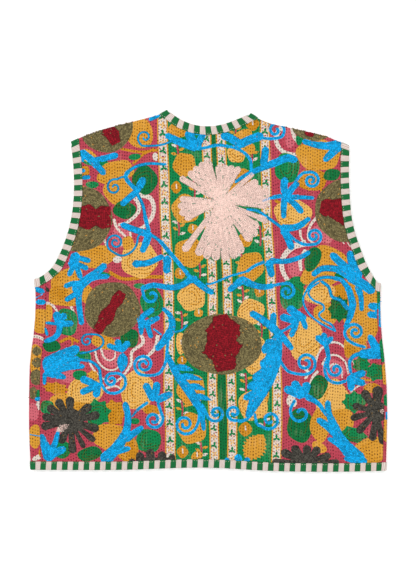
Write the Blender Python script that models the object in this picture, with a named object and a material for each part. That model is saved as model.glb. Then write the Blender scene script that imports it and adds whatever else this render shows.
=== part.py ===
"""An embroidered waistcoat laid flat with its back uppermost, in the pieces that a maker cuts and sews.

X runs across the back to the right, Y up towards the neck and Z up from the surface it lies on. The
origin is on that surface, under the middle of the garment. Every length here is in millimetres until
`show` turns it into metres.
"""

import math
from collections import namedtuple
from functools import lru_cache

import bmesh
import bpy
from mathutils import Vector
from mathutils.geometry import delaunay_2d_cdt

METRES = 0.001
LEFT, RIGHT = -1, 1

# Driving dimensions
CLOTH = 2.0  # thickness of the quilted cloth
TAPE = 1.0  # thickness of each folded side of the binding
TAPE_WIDTH = 13.5
SEAM = 0.3  # gap between neighbouring pieces
LAYER_GAP = 0.5  # between the fronts and the back that lies on them
RELIEF = 0.8  # how far thick embroidery stands on the cloth
FRONT_GAP = 3.0  # between the two front edges
SIDE_WRAP = {LEFT: 16.0, RIGHT: 4.5}  # how far each front rolls on to the back
SIDE_PUFF = 2.0  # extra height of the soft fold at each side
SHOULDER_PUFF = 1.0
PUFF_REACH = 26.0
WIDE_STRIP = 10.0  # a rolled strip wider than this has a row of points along its middle
FLAT_REACH = 19.0  # level band beside a bound edge
EASE_REACH = 30.0  # beyond it the cloth settles over this distance
NECK_SAG = (8.0, 58.0)  # where the back sinks into the open front neck

# Spacing of the points
TOP_GRID, LOW_GRID = 17.0, 26.0
RING_GAP = 3.0  # least distance between the points beside a bound edge
SEAM_STARTS = (7.0, 16.0)  # the first two rings of a tape after a shoulder seam
FOLD_STARTS = (9.0, 20.0)  # and beside the side folds, along the hem
ARMHOLE_STEP, NECK_STEP, HEM_STEP = 24.0, 5.0, 26.0
FRONT_CURVE = 200.0  # length of the front edge's curve, below which it is straight
CURVE_STEP, STRAIGHT_STEP = 19.0, 45.0
SIDE_STEP, SHOULDER_STEP = 26.0, 22.0
ROUND_POINTS, PETAL_POINTS = 28, 6  # in a round motif's outline, and for each petal of the others
RELIEF_EDGE = 1.0  # over this distance the embroidery rises to its height

EDGE_INSET = TAPE + SEAM  # from a binding's outer edge to the cloth's cut edge
TAPE_LIFT = TAPE + SEAM  # how far a binding holds the cloth off what it lies on

# The outline, as distances out from the centre line and up from the middle of the garment
Half = namedtuple("Half", "left_out left_up right_out right_up")
NECK_POINT = Half(64.5, 287.7, 67, 282.5)
SHOULDER_TIP = Half(219, 236.6, 225.5, 229.6)
UNDERARM = Half(275.5, 19.5, 274, 12.5)
HEM_CORNER = Half(281.8, -286, 283, -287.5)
SHOULDER = (
    NECK_POINT,
    Half(77, 281, 83, 272.5),
    Half(110, 272, 138, 258),
    Half(160, 259, 165, 252),
    Half(197, 246.5, 195, 243.5),
    SHOULDER_TIP,
)
ARMHOLE = (
    SHOULDER_TIP,
    Half(214.5, 190, 225, 188),
    Half(214.5, 150, 226.5, 148),
    Half(220, 108, 231, 108),
    Half(233, 68, 243, 68),
    Half(250, 36, 257.5, 33),
    Half(262, 25, 265, 20),
    UNDERARM,
)
SIDE = (
    UNDERARM,
    Half(274.5, -15, 274.5, -20),
    Half(277, -62, 276, -64),
    Half(283.5, -112, 281, -108),
    Half(285, -165, 285, -165),
    Half(284.8, -235, 284.8, -235),
    HEM_CORNER,
)
FRONT_NECK = (
    NECK_POINT,
    Half(46, 228, 46, 226),
    Half(24, 162, 24, 162),
    Half(7, 122, 7, 122),
)

Place = namedtuple("Place", "out up")
BACK_NECK = (Place(-42, 272.5), Place(-20, 264.8), Place(1, 263), Place(24, 266), Place(46, 273.5))
HEM = (Place(-140, -286), Place(0, -282.5), Place(110, -288), Place(200, -289))
FRONT_NECK_END = 104.0  # below this height the front edges run straight down

# Soft creases of the back: where, along what angle, and how long, wide and high each is
Crease = namedtuple("Crease", "out up degrees length width height")
CREASES = (
    Crease(-196, 10, 38, 70, 20, 2.2),
    Crease(188, 2, 142, 66, 20, 2.0),
    Crease(-150, 190, -62, 62, 18, 1.6),
    Crease(158, 186, 66, 58, 18, 1.6),
    Crease(-238, -110, 84, 74, 17, 1.8),
    Crease(234, -140, 97, 80, 18, 2.2),
    Crease(-70, -190, 72, 80, 24, 1.4),
    Crease(92, -40, 100, 78, 24, 1.5),
    Crease(20, 120, 12, 74, 22, 1.2),
)

# Thick embroidery: a centre, two radii, and the number and depth of its petals
Motif = namedtuple("Motif", "out up across along petals scallop")
MOTIFS = (
    Motif(-153, -30, 44, 44, 0, 0),
    Motif(22, -86, 64, 49, 0, 0),
    Motif(-205, 116, 53, 53, 0, 0),
    Motif(220, 129, 51, 51, 0, 0),
    Motif(-162, 262, 42, 42, 0, 0),
    Motif(17, 138, 78, 82, 8, 0.34),
    Motif(-223, -212, 47, 45, 12, 0.36),
    Motif(256, -196, 44, 48, 12, 0.36),
)

Finish = namedtuple("Finish", "colour roughness")
QUILT = Finish((0.62, 0.40, 0.14, 1), 0.9)
FRONT_QUILT = Finish((0.60, 0.22, 0.22, 1), 0.9)
STRIPED_TAPE = Finish((0.05, 0.33, 0.12, 1), 0.85)


def ease(amount):
    """A smooth step from 0 to 1."""
    amount = min(1.0, max(0.0, amount))
    return amount * amount * (3 - 2 * amount)


def smooth_points(knots, step=5.0):
    """Closely spaced points of a smooth line through a few knots."""
    knots = [Vector(k) for k in knots]
    gaps = [(b - a).length for a, b in zip(knots, knots[1:])]
    slopes = [(b - a) / g for a, b, g in zip(knots, knots[1:], gaps)]
    bends = [slopes[0]]
    for k in range(1, len(slopes)):
        before, after = gaps[k - 1], gaps[k]
        bends.append((slopes[k - 1] * after + slopes[k] * before) / (before + after))
    bends.append(slopes[-1])
    line = [knots[0]]
    for k, gap in enumerate(gaps):
        steps = max(1, round(gap / step))
        for n in range(1, steps + 1):
            t = n / steps
            point = knots[k].lerp(knots[k + 1], t * t * (3 - 2 * t))
            start_pull, end_pull = t * (1 - t) ** 2 * gap, t * t * (t - 1) * gap
            line.append(point + bends[k] * start_pull + bends[k + 1] * end_pull)
    return line


class Track:
    """A line on the table, followed by its length."""

    def __init__(self, points):
        self.points = points
        self.reach = [0.0]
        for a, b in zip(points, points[1:]):
            self.reach.append(self.reach[-1] + (b - a).length)
        self.length = self.reach[-1]

    def at(self, distance):
        distance = min(self.length, max(0.0, distance))
        k = next(n for n, far in enumerate(self.reach[1:]) if far >= distance - 1e-9)
        span = self.reach[k + 1] - self.reach[k]
        return self.points[k].lerp(self.points[k + 1], (distance - self.reach[k]) / span)

    def heading(self, distance):
        near = max(0.0, distance - 1.0)
        far = min(self.length, distance + 1.0)
        return (self.at(far) - self.at(near)).normalized()

    def side_of(self, distance, towards):
        """The unit normal of the line there that points to the same side as `towards`."""
        along = self.heading(distance)
        normal = Vector((-along.y, along.x))
        return normal if normal.dot(towards) > 0 else -normal

    def gap(self, point):
        """How far a point is from the line."""
        nearest = 1e9
        for a, b in zip(self.points, self.points[1:]):
            run = b - a
            share = min(1.0, max(0.0, (point - a).dot(run) / run.length_squared))
            nearest = min(nearest, (point - a - run * share).length_squared)
        return math.sqrt(nearest)

    def across_at(self, axis, value):
        """The point of the line where its coordinate `axis` (0 or 1) takes a value."""
        for a, b in zip(self.points, self.points[1:]):
            low, high = sorted((a[axis], b[axis]))
            if low <= value <= high and high > low:
                return a.lerp(b, (value - a[axis]) / (b[axis] - a[axis]))
        return min(self.points, key=lambda p: abs(p[axis] - value)).copy()


def knot(half, side):
    if side == LEFT:
        return Vector((-half.left_out, half.left_up))
    return Vector((half.right_out, half.right_up))


hem_line = Track(smooth_points([knot(HEM_CORNER, LEFT), *HEM, knot(HEM_CORNER, RIGHT)]))
neck_line = Track(smooth_points([knot(NECK_POINT, LEFT), *BACK_NECK, knot(NECK_POINT, RIGHT)]))
shoulder_line, armhole_line, side_line, front_line = {}, {}, {}, {}
for half_side in (LEFT, RIGHT):
    for lines, table in ((shoulder_line, SHOULDER), (armhole_line, ARMHOLE), (side_line, SIDE)):
        lines[half_side] = Track(smooth_points([knot(h, half_side) for h in table]))
    edge_out = half_side * FRONT_GAP / 2
    front_neck = [*(knot(h, half_side) for h in FRONT_NECK), Vector((edge_out, FRONT_NECK_END))]
    front_line[half_side] = Track(smooth_points(front_neck) + [hem_line.across_at(0, edge_out)])


def level_near(distance):
    """1 in the level band beside a bound edge, settling to 0 further in."""
    return 1 - ease((distance - FLAT_REACH) / EASE_REACH)


def in_open_neck(point):
    """Whether a point lies above the front neckline, where there is no front under the back."""
    if point.y < FRONT_NECK_END:
        return False
    side = LEFT if point.x < 0 else RIGHT
    return abs(point.x) < abs(front_line[side].across_at(1, point.y).x)


def crease_height(point):
    total = 0.0
    for crease in CREASES:
        turn = math.radians(crease.degrees)
        away = point - Vector((crease.out, crease.up))
        along = away.x * math.cos(turn) + away.y * math.sin(turn)
        across = away.y * math.cos(turn) - away.x * math.sin(turn)
        total += crease.height * math.exp(-((along / crease.length) ** 2) - (across / crease.width) ** 2)
    return total


@lru_cache(maxsize=None)
def heights(out, up):
    """The heights of the middle of the lower and of the upper cloth over a point of the table."""
    point = Vector((out, up))
    arm = min(armhole_line[s].gap(point) for s in (LEFT, RIGHT))
    side = min(side_line[s].gap(point) for s in (LEFT, RIGHT))
    shoulder = min(shoulder_line[s].gap(point) for s in (LEFT, RIGHT))
    front = min(front_line[s].gap(point) for s in (LEFT, RIGHT))
    hem = hem_line.gap(point)
    under = level_near(min(arm, hem, front))
    own_edge = min(arm, hem, neck_line.gap(point))
    cover = 1.0
    if in_open_neck(point):
        cover -= ease((front - NECK_SAG[0]) / (NECK_SAG[1] - NECK_SAG[0]))
    puff = SIDE_PUFF * (1 - ease(side / PUFF_REACH)) + SHOULDER_PUFF * (1 - ease(shoulder / PUFF_REACH))
    puff *= 1 - level_near(own_edge)
    free = ease((min(own_edge, side, shoulder) - FLAT_REACH) / EASE_REACH)
    low = CLOTH / 2 + TAPE_LIFT * under
    top = CLOTH / 2 + (CLOTH + LAYER_GAP) * cover + 2 * TAPE_LIFT * under + TAPE_LIFT * level_near(own_edge)
    return low, top + puff + crease_height(point) * free


def on_low(point, lift):
    """A point of the lower cloth, moved out of its middle by `lift`, towards the table."""
    return Vector((point.x, point.y, heights(*point)[0] - lift))


def on_top(point, lift):
    """A point of the upper cloth, moved out of its middle by `lift`, away from the table."""
    return Vector((point.x, point.y, heights(*point)[1] + lift))


# A fold is round: it starts over one point and turns from the upper cloth (0) to the lower one (pi)
Bend = namedtuple("Bend", "start out radius middle")
QUARTER = (math.radians(30), math.radians(60))
HALF_TURN = tuple(math.radians(a) for a in (0, 30, 60, 90, 120, 150, 180))


@lru_cache(maxsize=None)
def bend_at(line, distance, side):
    edge = line.at(distance)
    outward = line.side_of(distance, Vector((side, 0.2)))
    low, top = heights(*edge)
    start = edge - outward * (top - low) / 2
    low, top = heights(*start)
    return Bend(start, outward, (top - low) / 2, (top + low) / 2)


def on_bend(bend, angle, lift):
    reach = bend.radius + lift
    plan = bend.start + bend.out * reach * math.sin(angle)
    return Vector((plan.x, plan.y, bend.middle + reach * math.cos(angle)))


def on_seam(bend, layer, lift):
    """The end of a quarter fold, half the seam gap above (layer 1) or below (layer -1) its middle."""
    angle = math.acos(SEAM / 2 / (bend.radius + lift))
    return on_bend(bend, angle if layer > 0 else math.pi - angle, lift)


def spread(start, end, step):
    """Evenly spaced distances from start to end, both included."""
    count = max(1, round(abs(end - start) / step))
    return [start + (end - start) * n / count for n in range(count + 1)]


# Where a binding's edge runs on the flat, with the direction into the cloth
Stop = namedtuple("Stop", "edge inward")


def stops(line, distances, towards, at_start=None, at_end=None, turn_over=26.0):
    """Stops along a line. The inward direction turns to at_start and at_end at the line's two ends."""
    found = []
    for distance in distances:
        inward = line.side_of(distance, towards)
        if at_start is not None:
            inward = inward.lerp(at_start, 1 - ease(distance / turn_over))
        if at_end is not None:
            inward = inward.lerp(at_end, 1 - ease((line.length - distance) / turn_over))
        found.append(Stop(line.at(distance), inward.normalized()))
    return found


def armhole_stops(side):
    line = armhole_line[side]
    to_neck = -shoulder_line[side].heading(shoulder_line[side].length)
    distances = [SEAM_STARTS[0], *spread(SEAM_STARTS[1], line.length - FOLD_STARTS[0], ARMHOLE_STEP)]
    return stops(line, distances, Vector((-side, -0.6)), at_start=to_neck, at_end=Vector((0, -1)))


def neck_stops():
    from_left = shoulder_line[LEFT].heading(0)
    from_right = shoulder_line[RIGHT].heading(0)
    first, second = SEAM_STARTS
    distances = [first, *spread(second, neck_line.length - second, NECK_STEP), neck_line.length - first]
    return stops(neck_line, distances, Vector((0, -1)), at_start=from_left, at_end=from_right)


def front_stops(side):
    line = front_line[side]
    from_neck = shoulder_line[side].heading(0)
    distances = [SEAM_STARTS[0], *spread(SEAM_STARTS[1], FRONT_CURVE, CURVE_STEP)]
    distances += spread(FRONT_CURVE, line.length, STRAIGHT_STEP)[1:]
    return stops(line, distances, Vector((side, 0)), at_start=from_neck)


def hem_stops(outs):
    return [Stop(hem_line.across_at(0, out), Vector((0, 1))) for out in outs]


def hem_fold(side):
    """Where the side fold starts at the hem."""
    return bend_at(side_line[side], side_line[side].length, side).start.x


def hem_outs_back():
    """Places along the hem between the two side folds, where the back and its binding have points."""
    left, right = hem_fold(LEFT), hem_fold(RIGHT)
    first, second = FOLD_STARTS
    return [left + first, *spread(left + second, right - second, HEM_STEP), right - first]


def hem_outs_front(side):
    """Places along the hem from a front's binding to the side fold."""
    start = side * (FRONT_GAP / 2 + TAPE_WIDTH + SEAM)
    return spread(start, hem_fold(side) - side * FOLD_STARTS[0], HEM_STEP)


def tape_section():
    """The folded tape in section, as (depth from its outer edge, lift from the cloth's middle)."""
    inner = CLOTH / 2 + SEAM
    outer = inner + TAPE
    corner = TAPE * 1.1
    upper = [(TAPE_WIDTH, outer), (corner, outer), (0, outer - corner)]
    lower = [(depth, -lift) for depth, lift in reversed(upper)]
    slot = [(TAPE_WIDTH, -inner), (TAPE, -inner), (TAPE, inner), (TAPE_WIDTH, inner)]
    return upper + lower + slot


def flat_ring(stop, put):
    return [put(stop.edge + stop.inward * depth, lift) for depth, lift in tape_section()]


def bent_ring(line, side, angle, from_end):
    """A ring of the tape on a fold, where its depth runs along the fold's own line."""
    ring = []
    for depth, lift in tape_section():
        bend = bend_at(line, line.length - depth if from_end else depth, side)
        ring.append(on_bend(bend, angle, lift))
    return ring


def seam_rings(line, side, layer, from_end):
    """The quarter fold of a tape over the shoulder, up to the seam at its outermost line."""
    angles = (0, *QUARTER) if layer > 0 else (math.pi, *(math.pi - a for a in QUARTER))
    rings = [bent_ring(line, side, angle, from_end) for angle in angles]
    last = []
    for depth, lift in tape_section():
        bend = bend_at(line, line.length - depth if from_end else depth, side)
        last.append(on_seam(bend, layer, lift))
    return [*rings, last]


def finish(name, finish_of):
    material = bpy.data.materials.new(name)
    material.use_nodes = True
    shader = material.node_tree.nodes["Principled BSDF"]
    shader.inputs["Base Color"].default_value = finish_of.colour
    shader.inputs["Roughness"].default_value = finish_of.roughness
    return material


def show(name, shape, material):
    """Turns a bmesh in millimetres into the named object, in metres."""
    bmesh.ops.recalc_face_normals(shape, faces=shape.faces)
    bmesh.ops.scale(shape, vec=(METRES,) * 3, verts=shape.verts)
    mesh = bpy.data.meshes.new(name)
    shape.to_mesh(mesh)
    shape.free()
    mesh.materials.append(material)
    mesh.shade_smooth()
    mesh.set_sharp_from_angle(angle=math.radians(40))
    bpy.context.scene.collection.objects.link(bpy.data.objects.new(name, mesh))


def binding(name, rings, material):
    """A strip of folded tape through rings of the same section."""
    shape = bmesh.new()
    loops = [[shape.verts.new(point) for point in ring] for ring in rings]
    for near, far in zip(loops, loops[1:]):
        for k in range(len(near)):
            before = k - 1
            shape.faces.new((near[before], near[k], far[k], far[before]))
    for end in (loops[0], loops[-1]):
        shape.faces.new(end)
    show(name, shape, material)


def inside(rim, point):
    hits = 0
    for a, b in zip(rim, rim[1:] + rim[:1]):
        if (a.y > point.y) != (b.y > point.y):
            hits += point.x < a.x + (point.y - a.y) / (b.y - a.y) * (b.x - a.x)
    return hits % 2 == 1


def grid_points(rim, step, lines, bound):
    """Staggered points that fill a rim, clear of it, of the lines and of the tape on bound edges."""
    keep_off = [point for line in lines for point in line]
    low = Vector((min(p.x for p in rim), min(p.y for p in rim)))
    high = Vector((max(p.x for p in rim), max(p.y for p in rim)))
    border = Track([*rim, rim[0]])
    margin = step / 3
    rows = int((high.y - low.y) / step) + 1
    found = []
    for row in range(rows + 1):
        shift = step / 2 if row % 2 else 0.0
        for column in range(int((high.x - low.x) / step) + 2):
            point = Vector((low.x + column * step + shift, low.y + row * step))
            clear = all((point - other).length > margin * 0.6 for other in keep_off)
            clear = clear and all(edge.gap(point) > TAPE_WIDTH for edge in bound)
            if clear and inside(rim, point) and border.gap(point) > margin:
                found.append(point)
    return found


def skin(rim, points, lines):
    """Triangles that fill a rim through its inner points and lines: (positions, faces), rim first."""
    places = [*rim, *points]
    edges = []
    for line in lines:
        first = len(places)
        places += line
        edges += [(first + k, first + k + 1) for k in range(len(line) - 1)]
    border = list(range(len(rim)))
    made = delaunay_2d_cdt([Vector(p) for p in places], edges, [border], 1, 1e-4)
    return made[0], made[2], made[3]


def wall(shape, rim, outer, inner, outer_at, inner_at, wraps):
    """Adds the two skins of a panel to a bmesh, with the folds that go on from its rim, and closes it.

    outer and inner are skins, outer_at and inner_at place their points in space, and each wrap is
    (rim indices, rings), with a ring a list of (outer, inner) places beside those rim points.
    """
    partner = {}
    rim_verts = {"outer": {}, "inner": {}}
    for key, (places, faces, origin), put in (("outer", outer, outer_at), ("inner", inner, inner_at)):
        verts = []
        for place, sources in zip(places, origin):
            vert = shape.verts.new(put(place))
            verts.append(vert)
            for source in sources:
                if source < len(rim):
                    rim_verts[key][source] = vert
        for face in faces:
            shape.faces.new([verts[k] for k in face])
    for k, vert in rim_verts["outer"].items():
        partner[vert] = rim_verts["inner"][k]
    for indices, rings in wraps:
        near = [(rim_verts["outer"][k], rim_verts["inner"][k]) for k in indices]
        for ring in rings:
            far = [(shape.verts.new(o), shape.verts.new(i)) for o, i in ring]
            partner.update(far)
            for layer in (0, 1):
                for k in range(len(near) - 1):
                    corners = (near[k], near[k + 1], far[k + 1], far[k])
                    shape.faces.new([pair[layer] for pair in corners])
            near = far
    open_edges = [e for e in shape.edges if len(e.link_faces) == 1 and e.verts[0] in partner]
    for edge in open_edges:
        a, b = edge.verts
        if b in partner:
            shape.faces.new((a, b, partner[b], partner[a]))


def motif_depth(motif, point):
    """How far a point lies inside a motif's outline, negative outside."""
    away = Vector(((point.x - motif.out) / motif.across, (point.y - motif.up) / motif.along))
    edge = motif_edge(motif, math.atan2(away.y, away.x))
    return (edge - away.length) * min(motif.across, motif.along)


def motif_edge(motif, angle):
    """A motif's outline as a share of its radii: round, or drawn in between its petals."""
    return 1 - motif.scallop * (1 - abs(math.cos(motif.petals * angle / 2)) ** 0.5)


def relief(point, clear):
    """Height of the embroidery on the cloth, none within reach of a binding."""
    depth = max(motif_depth(m, point) for m in MOTIFS)
    return RELIEF * min(1.0, max(0.0, depth / RELIEF_EDGE)) * ease(clear - FLAT_REACH)


def motif_lines(rim):
    """The outline of each motif and a line just inside it, where they are clear of the rim."""
    border = Track([*rim, rim[0]])
    lines = []
    for motif in MOTIFS:
        count = motif.petals * PETAL_POINTS if motif.petals else ROUND_POINTS
        for step_in in (0.0, RELIEF_EDGE):
            run = []
            for k in range(count + 1):
                angle = math.tau * k / count
                edge = motif_edge(motif, angle)
                ray = Vector((math.cos(angle) * motif.across, math.sin(angle) * motif.along))
                point = Vector((motif.out, motif.up)) + ray * (edge - step_in / ray.length)
                if inside(rim, point) and border.gap(point) > FLAT_REACH:
                    run.append(point)
                elif len(run) > 1:
                    lines.append(run)
                    run = []
                else:
                    run = []
            if len(run) > 1:
                lines.append(run)
    return lines


def marks_along(line, step):
    """Distances along a fold between two bound edges, where the panels have points."""
    ends = [EDGE_INSET, TAPE_WIDTH, FLAT_REACH]
    middle = spread(2 * FLAT_REACH, line.length - 2 * FLAT_REACH, step)
    return ends + middle + [line.length - distance for distance in reversed(ends)]


def shoulder_marks(side):
    """From the neck end of a shoulder to its tip."""
    return marks_along(shoulder_line[side], SHOULDER_STEP)


def shoulder_wrap(side, layer, marks):
    """The quarter fold of a panel over the shoulder."""
    line = shoulder_line[side]
    bends = [bend_at(line, mark, side) for mark in marks]
    lifts = (CLOTH / 2, -CLOTH / 2)
    rings = []
    for angle in QUARTER:
        turn = angle if layer > 0 else math.pi - angle
        rings.append([tuple(on_bend(bend, turn, lift) for lift in lifts) for bend in bends])
    rings.append([tuple(on_seam(bend, layer, lift) for lift in lifts) for bend in bends])
    return rings


def armhole_edge(side):
    """The cut edge of the cloth round an armhole, as a line from the shoulder to the underarm."""
    edge = [stop.edge + stop.inward * EDGE_INSET for stop in armhole_stops(side)]
    end = bend_at(side_line[side], EDGE_INSET, side).start
    return Track([*edge, end])


def hem_up(out):
    return hem_line.across_at(0, out).y + EDGE_INSET


def band_lines(stop_lists, rim):
    """Lines of a cloth just past a binding's inner edge and at the end of the level band."""
    border = Track([*rim, rim[0]])
    lines, kept = [], []
    for stop_list in stop_lists:
        for depth in (TAPE_WIDTH + SEAM, FLAT_REACH):
            line = []
            for stop in stop_list:
                point = stop.edge + stop.inward * depth
                clear = all((point - other).length > RING_GAP for other in kept)
                if clear and inside(rim, point) and border.gap(point) > RING_GAP:
                    line.append(point)
                    kept.append(point)
                else:
                    lines.append(line)
                    line = []
            lines.append(line)
    return [line for line in lines if line]


def back_rim():
    """The back's cut outline, anticlockwise from its lower left corner, and its two shoulder runs."""
    seams, armholes = {}, {}
    for side in (LEFT, RIGHT):
        edge = armhole_edge(side)
        seam = [point - Vector((side * SEAM, 0)) for point in seam_points(side)]
        meets = edge.across_at(0, seam[0].x)
        foot = Vector((seam[-1].x, hem_up(seam[-1].x)))
        seams[side] = [meets, *seam[1:-1], foot]
        armholes[side] = [point for point in edge.points if point.y > meets.y + RING_GAP / 2]
    left, right = seams[LEFT][-1].x, seams[RIGHT][-1].x
    hem_outs = [out for out in hem_outs_back() if left + RING_GAP < out < right - RING_GAP]
    rim = [seams[LEFT][-1], *(Vector((out, hem_up(out))) for out in hem_outs)]
    rim += seams[RIGHT][::-1] + armholes[RIGHT][::-1]
    runs = {}
    for side in (RIGHT, LEFT):
        marks = shoulder_marks(side)
        marks = marks[::-1] if side == RIGHT else marks
        runs[side] = (list(range(len(rim), len(rim) + len(marks))), marks)
        rim += [bend_at(shoulder_line[side], mark, side).start for mark in marks]
        if side == RIGHT:
            rim += [stop.edge + stop.inward * EDGE_INSET for stop in neck_stops()[::-1]]
    rim += armholes[LEFT] + seams[LEFT][:-1]
    return rim, runs


def back_panel(material):
    rim, runs = back_rim()
    bound = [hem_line, neck_line, armhole_line[LEFT], armhole_line[RIGHT]]
    edge_stops = [armhole_stops(LEFT), armhole_stops(RIGHT), neck_stops(), hem_stops(hem_outs_back())]
    bands = band_lines(edge_stops, rim)
    raised = bands + motif_lines(rim)
    outer = skin(rim, grid_points(rim, TOP_GRID, raised, bound), raised)
    inner = skin(rim, grid_points(rim, LOW_GRID, bands, bound), bands)

    def outer_at(place):
        clear = min(edge.gap(place) for edge in bound)
        return on_top(place, CLOTH / 2 + relief(place, clear))

    def inner_at(place):
        return on_top(place, -CLOTH / 2)

    shape = bmesh.new()
    wraps = [(indices, shoulder_wrap(side, 1, marks)) for side, (indices, marks) in runs.items()]
    wall(shape, rim, outer, inner, outer_at, inner_at, wraps)
    show("back_panel", shape, material)


def side_marks(side):
    """From the underarm down a side fold to the hem."""
    return marks_along(side_line[side], SIDE_STEP)


def strip_row(side, mark, bend, shares):
    """Places across the strip of a front that rolls on to the back, at one mark down the side."""
    edge = armhole_edge(side)
    top_start = bend_at(side_line[side], EDGE_INSET, side).start
    seam_top = side * (abs(top_start.x) + bend.radius - SIDE_WRAP[side])
    near_top = 1 - ease((mark - FLAT_REACH) / EASE_REACH)
    near_hem = 1 - ease((side_line[side].length - mark - FLAT_REACH) / EASE_REACH)
    row = []
    for share in shares:
        out = bend.start.x + side * (bend.radius - SIDE_WRAP[side]) * share
        rise = edge.across_at(0, top_start.x + (seam_top - top_start.x) * share).y - top_start.y
        drop = hem_up(out) - hem_up(bend.start.x)
        row.append(Vector((out, bend.start.y + rise * near_top + drop * near_hem)))
    return row


def seam_points(side):
    """The side seam on the back, from the armhole to the hem, as the edge of the front's strip."""
    line = side_line[side]
    return [strip_row(side, mark, bend_at(line, mark, side), (1.0,))[0] for mark in side_marks(side)]


def side_wrap(side, marks):
    """The soft fold of a front at the side, and the strip that rolls on to the back up to the seam."""
    bends = [bend_at(side_line[side], mark, side) for mark in marks]
    lifts = (CLOTH / 2, -CLOTH / 2)
    rings = []
    for angle in reversed(HALF_TURN[:-1]):
        rings.append([tuple(on_bend(bend, angle, lift) for lift in lifts) for bend in bends])
    shares = (0.5, 1.0) if SIDE_WRAP[side] > WIDE_STRIP else (1.0,)
    rows = [strip_row(side, mark, bend, shares) for mark, bend in zip(marks, bends)]
    for column in range(len(shares)):
        rings.append([tuple(on_top(row[column], lift) for lift in lifts) for row in rows])
    return rings


def front_panel(name, side, material):
    marks, tops = side_marks(side), shoulder_marks(side)
    side_run = [bend_at(side_line[side], mark, side).start for mark in marks]
    shoulder_run = [bend_at(shoulder_line[side], mark, side).start for mark in tops]
    arm_run = [stop.edge + stop.inward * EDGE_INSET for stop in armhole_stops(side)]
    edge_run = [stop.edge + stop.inward * EDGE_INSET for stop in front_stops(side)]
    foot = edge_run[-1].x
    edge_run = [point for point in edge_run if point.y > hem_up(foot) + RING_GAP]
    hem_run = [Vector((out, hem_up(out))) for out in (foot, *hem_outs_front(side))]
    rim = hem_run + side_run[::-1] + arm_run[::-1] + shoulder_run[::-1] + edge_run
    side_first = len(hem_run)
    shoulder_first = side_first + len(side_run) + len(arm_run)
    side_indices = list(range(side_first, side_first + len(side_run)))
    shoulder_indices = list(range(shoulder_first, shoulder_first + len(shoulder_run)))
    bound = [hem_line, armhole_line[side], front_line[side]]
    bands = band_lines([armhole_stops(side), front_stops(side), hem_stops(hem_outs_front(side))], rim)
    fill = skin(rim, grid_points(rim, LOW_GRID, bands, bound), bands)
    wraps = [
        (side_indices, [ring[::-1] for ring in side_wrap(side, marks)]),
        (shoulder_indices, shoulder_wrap(side, -1, tops[::-1])),
    ]

    def outer_at(place):
        return on_low(place, CLOTH / 2)

    def inner_at(place):
        return on_low(place, -CLOTH / 2)

    shape = bmesh.new()
    wall(shape, rim, fill, fill, outer_at, inner_at, wraps)
    show(name, shape, material)


def neck_binding(material):
    left = seam_rings(shoulder_line[LEFT], LEFT, 1, from_end=False)[::-1]
    right = seam_rings(shoulder_line[RIGHT], RIGHT, 1, from_end=False)
    middle = [flat_ring(stop, on_top) for stop in neck_stops()]
    binding("neck_binding", [*left, *middle, *right], material)


def front_binding(name, side, material):
    over_shoulder = seam_rings(shoulder_line[side], side, -1, from_end=False)[::-1]
    down_front = [flat_ring(stop, on_low) for stop in front_stops(side)]
    binding(name, [*over_shoulder, *down_front], material)


def armhole_binding(name, side, material):
    """One strip from the shoulder down the back, round the underarm fold and up the front."""
    shoulder = shoulder_line[side]
    back_start = seam_rings(shoulder, side, 1, from_end=True)[::-1]
    front_end = seam_rings(shoulder, side, -1, from_end=True)
    round_stops = armhole_stops(side)
    down_back = [flat_ring(stop, on_top) for stop in round_stops]
    underarm = [bent_ring(side_line[side], side, angle, from_end=False) for angle in HALF_TURN]
    up_front = [flat_ring(stop, on_low) for stop in reversed(round_stops)]
    binding(name, [*back_start, *down_back, *underarm, *up_front, *front_end], material)


def hem_binding(material):
    """One strip from one front edge, round both side folds and across the back to the other."""
    front, fold = {}, {}
    for side in (LEFT, RIGHT):
        front[side] = [flat_ring(stop, on_low) for stop in hem_stops(hem_outs_front(side))]
        fold[side] = [bent_ring(side_line[side], side, angle, from_end=True) for angle in HALF_TURN]
    across = [flat_ring(stop, on_top) for stop in hem_stops(hem_outs_back())]
    rings = [*front[LEFT], *fold[LEFT][::-1], *across, *fold[RIGHT], *front[RIGHT][::-1]]
    binding("hem_binding", rings, material)


def main():
    for old in list(bpy.data.objects):
        bpy.data.objects.remove(old)
    quilt = finish("quilted_back", QUILT)
    front_quilt = finish("quilted_fronts", FRONT_QUILT)
    tape = finish("striped_tape", STRIPED_TAPE)
    back_panel(quilt)
    for side, word in ((LEFT, "left"), (RIGHT, "right")):
        front_panel(f"front_{word}", side, front_quilt)
        front_binding(f"front_binding_{word}", side, tape)
        armhole_binding(f"armhole_binding_{word}", side, tape)
    neck_binding(tape)
    hem_binding(tape)


main()
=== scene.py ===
"""The looks of an embroidered waistcoat that lies flat with its back up.

Printed and hand-quilted cloth, chain-stitched flowers and scrolls, and striped tape, made round the
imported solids. Lengths are in millimetres until a mesh is made, and places that end in px or py are
pixels of the photograph's frame.
"""

import math
import random
from collections import namedtuple

import bmesh
import bpy
import numpy as np
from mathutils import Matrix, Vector
from mathutils.bvhtree import BVHTree
from mathutils.geometry import delaunay_2d_cdt


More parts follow.
